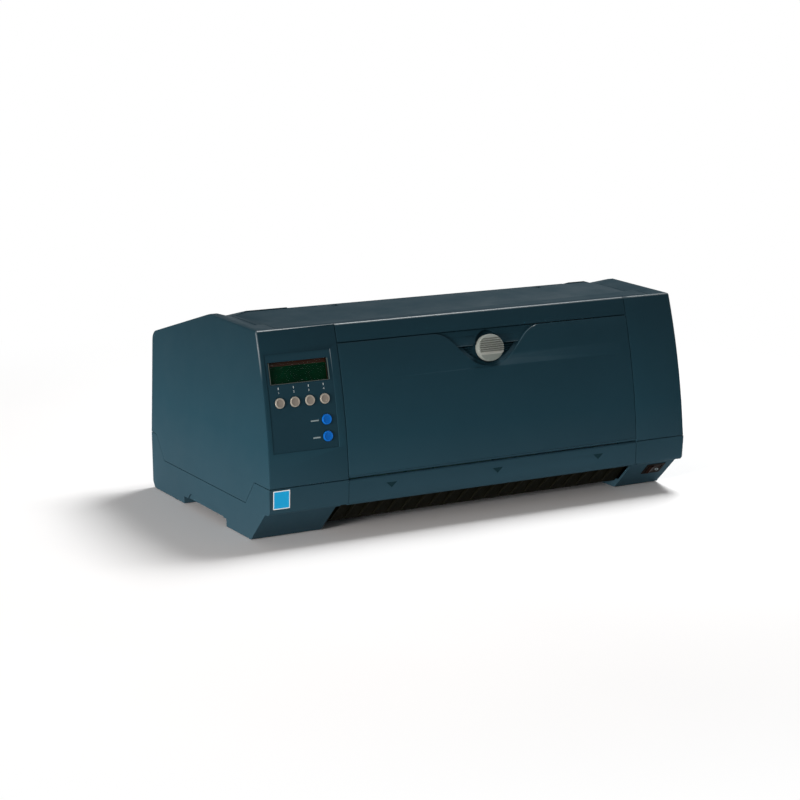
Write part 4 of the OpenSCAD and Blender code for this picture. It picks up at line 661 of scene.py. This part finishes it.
def window_rim():
    """The clear window's edge along its ends and its lower edge, in a pale finish that is a painted
    highlight.
    """
    for name, across, up, width, height in WINDOW_RIMS:
        bm = rounded_block((width, height, 0.5), 0.15)
        bmesh.ops.translate(bm, vec=(across * MM, up * MM, 0), verts=bm.verts)
        bm.transform(on_front(LCD_X, LCD_Z, 0.5 * MM))
        finish_mesh(placed("window_rim_" + name, bm, window_edge_painted_highlight, "casing"))


window_rim()


# ---------------------------------------------------------------- door latch knob
KNOB_Z = 208 * MM
KNOB_X = DOOR_X + 0.6 * MM
KNOB_HALF = (18.0, 16.4)
KNOB_BACK, KNOB_FACE = -4.5, 5.0
FIRST_RIDGE = -4.6
BELOW_RIDGES = [(-17.3, 0.6), (-13, 1.9), (-8.4, 2.9), (-7.4, 3.3), (-6.7, 5.0), (-5.2, 5.0),
                (FIRST_RIDGE, 3.7)]
ABOVE_RIDGES = [(11.9, 4.5), (17.3, 3.6)]
RIDGE_PITCH = 2.6
RIDGE_COUNT = 6
LIP_TOP, THUMB_RIDGE_TOP, RIDGES_TOP = -8, -4.9, 11.5
GROOVE_HEIGHT = 4.4
KNOB_RIM = 2.2
STEM_SIZE, STEM_MIDDLE = (12, 8, 11), -9.9
RIDGE_FORM = ((0.4, 3.6), (1.0, 4.9), (1.6, 4.9), (2.3, 3.6))


def knob_relief():
    """Heights of the knob's face up its middle: sloping lip, thumb ridge and grip ridges."""
    relief = list(BELOW_RIDGES)
    for ridge in range(RIDGE_COUNT):
        foot = FIRST_RIDGE + ridge * RIDGE_PITCH
        relief += [(foot + rise, height) for rise, height in RIDGE_FORM]
    return relief + ABOVE_RIDGES


def height_in(table, at):
    """The height that a list of (place, height) points gives at a place."""
    for (start, low), (end, high) in zip(table, table[1:]):
        if at <= end:
            return low + (high - low) * max(0, at - start) / (end - start)
    return table[-1][1]


def knob_finish(up, height):
    """Which finish a face of the knob gets: 1 in the grooves and 2 on the lip, darker as painted shade,
    and 3 on the thumb ridge, paler as a painted highlight.
    """
    if up < LIP_TOP:
        return 2
    if up < THUMB_RIDGE_TOP:
        return 3
    return 1 if up < RIDGES_TOP and height < GROOVE_HEIGHT else 0


def grip_knob():
    """The door latch's round knob with a ridged face, on its stem."""
    relief = knob_relief()
    bm = bmesh.new()
    bmesh.ops.create_cone(bm, cap_ends=True, cap_tris=False, segments=72, radius1=1, radius2=1,
                          depth=KNOB_FACE - KNOB_BACK)
    bmesh.ops.scale(bm, vec=(KNOB_HALF[0], KNOB_HALF[1], 1), verts=bm.verts)
    bmesh.ops.translate(bm, vec=(0, 0, (KNOB_FACE + KNOB_BACK) / 2), verts=bm.verts)
    rim = [edge for edge in bm.edges if all(v.co.z > KNOB_FACE - 0.01 for v in edge.verts)]
    bmesh.ops.bevel(bm, geom=rim, offset=1.3, offset_type="OFFSET", segments=4, profile=0.5,
                    affect="EDGES", material=-1)
    for at, _ in relief[1:-1]:
        bmesh.ops.bisect_plane(bm, geom=bm.verts[:] + bm.edges[:] + bm.faces[:], dist=0.0001,
                               plane_co=(0, at, 0), plane_no=(0, 1, 0))
    for vert in bm.verts:
        if vert.co.z > 0:
            vert.co.z *= height_in(relief, vert.co.y) / KNOB_FACE
    bmesh.ops.scale(bm, vec=(MM, MM, MM), verts=bm.verts)
    for face in bm.faces:
        middle = face.calc_center_median() / MM
        if face.normal.z > 0.3 and abs(middle.x) < KNOB_HALF[0] - KNOB_RIM:
            face.material_index = knob_finish(middle.y, middle.z)
    add_shape(bm, rounded_block(STEM_SIZE, 0.5), (0, 0, STEM_MIDDLE))
    bmesh.ops.recalc_face_normals(bm, faces=bm.faces)
    bm.transform(on_front(KNOB_X, KNOB_Z))
    # Painted shade in the grooves and on the lip, a painted highlight on the thumb ridge.
    finishes = (knob_plastic, knob_groove, knob_lip, knob_ridge_painted_highlight)
    finish_mesh(placed("latch_knob_grip", bm, finishes, body_of["latch_knob"], ["latch_knob"]), 24)


grip_knob()


SLAT_SPANS = {"left": ((-30, -6.5), (-28.5, -8), (-26, -8), (-23, -7)),
              "right": ((41, 60), (37.5, 56), (37.5, 53.5), (37, 51))}
SLAT_DEPTHS = (-2.4 * MM, -4.4 * MM)
TOP_SLAT_Z, SLAT_PITCH = 212.9, 3


def pocket_slats():
    """Short horizontal slats in the pocket on both sides of the knob."""
    for side, spans in SLAT_SPANS.items():
        for row, (start, end) in enumerate(spans):
            bm = rounded_block((end - start, 1.0, 1.6), 0.35)
            bm.transform(on_front((start + end) / 2 * MM, (TOP_SLAT_Z - row * SLAT_PITCH) * MM,
                                  SLAT_DEPTHS[min(row, 1)]))
            # The top slat takes the edge finish, a painted highlight along the pocket's top edge.
            finish_mesh(placed("pocket_slat_%s_%d" % (side, row + 1), bm,
                               casing_edge_painted_highlight if row == 0 else casing_plastic, "front_door"))


pocket_slats()


COVER_HINGE_XS = (-134.5 * MM, 165.5 * MM)
COVER_AXIS = (-8.5 * MM, 246.5 * MM)


def hinge_knuckles():
    """Round knuckles that fill the notches in the top cover's rear bead."""
    for count, x in enumerate(COVER_HINGE_XS):
        bm = turned(((0, -3.9), (4.6, -3.9), (5.3, -3.2), (5.3, 3.2), (4.6, 3.9), (0, 3.9)), 40)
        bm.transform(frame_at((x, COVER_AXIS[0], COVER_AXIS[1]), (1, 0, 0), (0, 0, 1)))
        finish_mesh(placed("cover_knuckle_%d" % (count + 1), bm, casing_plastic, "casing"))


hinge_knuckles()


FLAP_MARK_XS = (DOOR_X - 150.75 * MM, DOOR_X, DOOR_X + 150.75 * MM)
FLAP_MARK_Z = 60 * MM
FLAP_MARK_DEPTH = 0.34 * MM
FLAP_MARK_THICK = 0.06 * MM
FLAP_MARK_HALF = 7.4 * MM
FLAP_MARK_POINT = 4.5 * MM
FLAP_MARK_LIFT = 1.1 * MM


def flap_marks():
    """Dark grained triangles of painted shade in the floors of the three marks pressed into the flap."""
    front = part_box("paper_flap")[0][1]
    for count, x in enumerate(FLAP_MARK_XS):
        bm = bmesh.new()
        bmesh.ops.create_cone(bm, cap_ends=True, cap_tris=False, segments=3, radius1=1, radius2=1,
                              depth=FLAP_MARK_THICK)
        bmesh.ops.scale(bm, vec=(-FLAP_MARK_HALF / math.cos(math.radians(30)), -FLAP_MARK_POINT, 1),
                        verts=bm.verts)
        bmesh.ops.bevel(bm, geom=bm.edges[:], offset=0.02 * MM, offset_type="OFFSET", segments=1,
                        profile=0.5, affect="EDGES", material=-1)
        place = (x, front + FLAP_MARK_DEPTH, FLAP_MARK_Z + FLAP_MARK_LIFT)
        bm.transform(frame_at(place, (0, -1, 0), (0, 0, 1)))
        placed("flap_mark_%d" % (count + 1), bm, mark_shade, body_of["paper_flap"])


flap_marks()


# ---------------------------------------------------------------- power switch marks
ROCKER_PLACE = Vector((272.0, -133.412, 29.491)) * MM
ROCKER_UP = (0, -0.6903, 0.7235)
ROCKER_OUT = (0, -0.7235, -0.6903)
ROCKER_TIP = math.radians(8)
ROCKER_DISH = 23.5
ROCKER_DISH_AXIS = 28
ROCKER_MARK_REACH = 5.0


def rocker_marks():
    """A bar and a ring printed on the two ends of the rocker."""
    place = frame_at(ROCKER_PLACE, ROCKER_OUT, ROCKER_UP) @ Matrix.Rotation(-ROCKER_TIP, 4, "Y")
    bar = rounded_block((0.9, 4.4, 0.3), 0.1, 1)
    ring = turned(((1.5, 0.15), (2.3, 0.15), (2.3, -0.15), (1.5, -0.15), (1.5, 0.15)), 28)
    for name, bm, across in (("switch_bar_mark", bar, -ROCKER_MARK_REACH),
                             ("switch_ring_mark", ring, ROCKER_MARK_REACH)):
        dish = ROCKER_DISH_AXIS - math.sqrt(ROCKER_DISH ** 2 - across ** 2)
        lean = math.asin(across / ROCKER_DISH)
        bm.transform(place @ Matrix.Translation((across * MM, 0, (dish + 0.02) * MM))
                     @ Matrix.Rotation(-lean, 4, "Y"))
        placed(name, bm, print_grey, "power_rocker")


rocker_marks()


# ---------------------------------------------------------------- rear sockets
PARALLEL_AT, SERIAL_AT, SQUARE_AT = (50, 22), (-20, 21), (-62, 20.5)
CONTACT_PAIRS = 18
CONTACT_PITCH = 2.8
PIN_ROWS = ((5, 1.4), (4, -1.4))
PIN_PROFILE = ((0, -1.6), (0.5, -1.6), (0.5, 1.3), (0.2, 1.6), (0, 1.6))


def socket_linings():
    """Black insulators with their contacts and pins in the three rear sockets."""
    low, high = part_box("rear_connectors")
    place = frame_at(((low[0] + high[0]) / 2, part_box("base_casing")[1][1], low[2] + 5 * MM),
                     (0, 1, 0), (0, 0, 1))
    for name, size, middle in (("parallel_insulator", (54.6, 4.6, 7.4), (*PARALLEL_AT, -6.5)),
                               ("serial_insulator", (27.4, 7.4, 3.6), (*SERIAL_AT, -5.3)),
                               ("square_insulator", (6.2, 2.4, 6.4), (*SQUARE_AT, -5.9))):
        bm = rounded_block(size, 0.3)
        bmesh.ops.translate(bm, vec=[m * MM for m in middle], verts=bm.verts)
        bm.transform(place)
        finish_mesh(placed(name, bm, black_plastic, "casing"))
    contacts = bmesh.new()
    for count in range(CONTACT_PAIRS):
        for side in (-1, 1):
            across = PARALLEL_AT[0] + (count - (CONTACT_PAIRS - 1) / 2) * CONTACT_PITCH
            add_shape(contacts, rounded_block((1.2, 0.3, 6.0), 0.1, 1),
                      (across, PARALLEL_AT[1] + side * 2.35, -6.2))
    for pins, up in PIN_ROWS:
        for count in range(pins):
            across = SERIAL_AT[0] + (count - (pins - 1) / 2) * CONTACT_PITCH
            add_shape(contacts, turned(PIN_PROFILE, 12), (across, SERIAL_AT[1] + up, -2.6))
    contacts.transform(place)
    finish_mesh(placed("socket_contacts", contacts, pulley_brass, "casing"))


socket_linings()


# ---------------------------------------------------------------- camera, floor and light
CAMERA_PLACE = Vector((-1.49004, -2.41233, 0.76187))
CAMERA_YAW = math.radians(31.19)
CAMERA_DOWN = math.radians(12.83)
CAMERA_ROLL = math.radians(1.12)
CAMERA_LENS = 102.87


def make_camera():
    """A camera at the photograph's viewing angle, with a 36 mm wide sensor."""
    data = bpy.data.cameras.new("camera")
    data.lens = CAMERA_LENS
    data.sensor_width = 36
    camera = bpy.data.objects.new("camera", data)
    scene.collection.objects.link(camera)
    forward = Vector((math.sin(CAMERA_YAW) * math.cos(CAMERA_DOWN),
                      math.cos(CAMERA_YAW) * math.cos(CAMERA_DOWN), -math.sin(CAMERA_DOWN)))
    right = Vector((math.cos(CAMERA_YAW), -math.sin(CAMERA_YAW), 0))
    up = right.cross(forward)
    turned_right = right * math.cos(CAMERA_ROLL) + up * math.sin(CAMERA_ROLL)
    turned_up = up * math.cos(CAMERA_ROLL) - right * math.sin(CAMERA_ROLL)
    turn = Matrix((turned_right, turned_up, -forward)).transposed()
    camera.matrix_world = Matrix.Translation(CAMERA_PLACE) @ turn.to_4x4()
    scene.camera = camera


def soft_light(name, place, target, size, power, colour=(1, 1, 1)):
    """A large square lamp that looks at a target."""
    data = bpy.data.lights.new(name, "AREA")
    data.shape = "SQUARE"
    data.size = size
    data.energy = power
    data.color = colour
    lamp = bpy.data.objects.new(name, data)
    lamp.location = place
    lamp.rotation_euler = (Vector(target) - Vector(place)).to_track_quat("-Z", "Y").to_euler()
    scene.collection.objects.link(lamp)


def white_where_seen(tree, plain, shown, share=None):
    """Mixes a shader with one that only the camera, gloss and glass rays see."""
    path = tree.nodes.new("ShaderNodeLightPath").outputs
    clear = combine(tree, "MAXIMUM", path["Is Glossy Ray"], path["Is Transmission Ray"])
    factor = combine(tree, "MAXIMUM", path["Is Camera Ray"], clear)
    if share is not None:
        factor = combine(tree, "MULTIPLY", factor, share)
    mix = tree.nodes.new("ShaderNodeMixShader")
    tree.links.new(factor, mix.inputs[0])
    tree.links.new(plain, mix.inputs[1])
    tree.links.new(shown, mix.inputs[2])
    return mix.outputs[0]


def make_world():
    """Dim even surroundings that look white to the camera and in reflections."""
    world = bpy.data.worlds.new("studio")
    scene.world = world
    world.use_nodes = True
    tree = world.node_tree
    plain = tree.nodes["Background"]
    plain.inputs["Color"].default_value = (1, 1, 1, 1)
    plain.inputs["Strength"].default_value = WORLD_LIGHT
    white = tree.nodes.new("ShaderNodeBackground")
    white.inputs["Color"].default_value = (1, 1, 1, 1)
    out = white_where_seen(tree, plain.outputs[0], white.outputs[0])
    tree.links.new(out, tree.nodes["World Output"].inputs["Surface"])


def make_floor():
    """A pale floor that keeps the object's shadow and turns plain white further out."""
    bm = bmesh.new()
    bmesh.ops.create_grid(bm, x_segments=1, y_segments=1, size=FLOOR_HALF)
    mesh = bpy.data.meshes.new("floor")
    bm.to_mesh(mesh)
    bm.free()
    mat, tree, shader, coords = new_material("pale_floor")
    cloud = noise(tree, coords, 2)
    tree.links.new(blend(tree, cloud, (0.94, 0.94, 0.94), (0.96, 0.96, 0.96)),
                   shader.inputs["Base Color"])
    shader.inputs["Roughness"].default_value = 0.9
    shader.inputs["Specular IOR Level"].default_value = 0.0
    white = tree.nodes.new("ShaderNodeEmission")
    white.inputs["Color"].default_value = (1, 1, 1, 1)
    reach = tree.nodes.new("ShaderNodeVectorMath")
    reach.operation = "LENGTH"
    tree.links.new(coords, reach.inputs[0])
    fade = tree.nodes.new("ShaderNodeMapRange")
    fade.interpolation_type = "SMOOTHSTEP"
    fade.inputs["From Min"].default_value = SHADOW_REACH[0]
    fade.inputs["From Max"].default_value = SHADOW_REACH[1]
    tree.links.new(reach.outputs["Value"], fade.inputs["Value"])
    out = white_where_seen(tree, shader.outputs[0], white.outputs[0], fade.outputs["Result"])
    tree.links.new(out, tree.nodes["Material Output"].inputs["Surface"])
    mesh.materials.append(mat)
    floor = bpy.data.objects.new("floor", mesh)
    scene.collection.objects.link(floor)


WORLD_LIGHT = 0.18
FLOOR_HALF = 30
SHADOW_REACH = (0.65, 1.1)
MIDDLE = (0, 0, 0.12)
WARM_WHITE = (1.0, 0.94, 0.91)
make_camera()
make_world()
make_floor()
soft_light("side_softbox", (-3.0, -0.98, 0.32), MIDDLE, 1.0, 154, WARM_WHITE)
soft_light("top_softbox", (1.3, 0.4, 2.95), MIDDLE, 1.2, 96)
scene.view_settings.view_transform = "Standard"
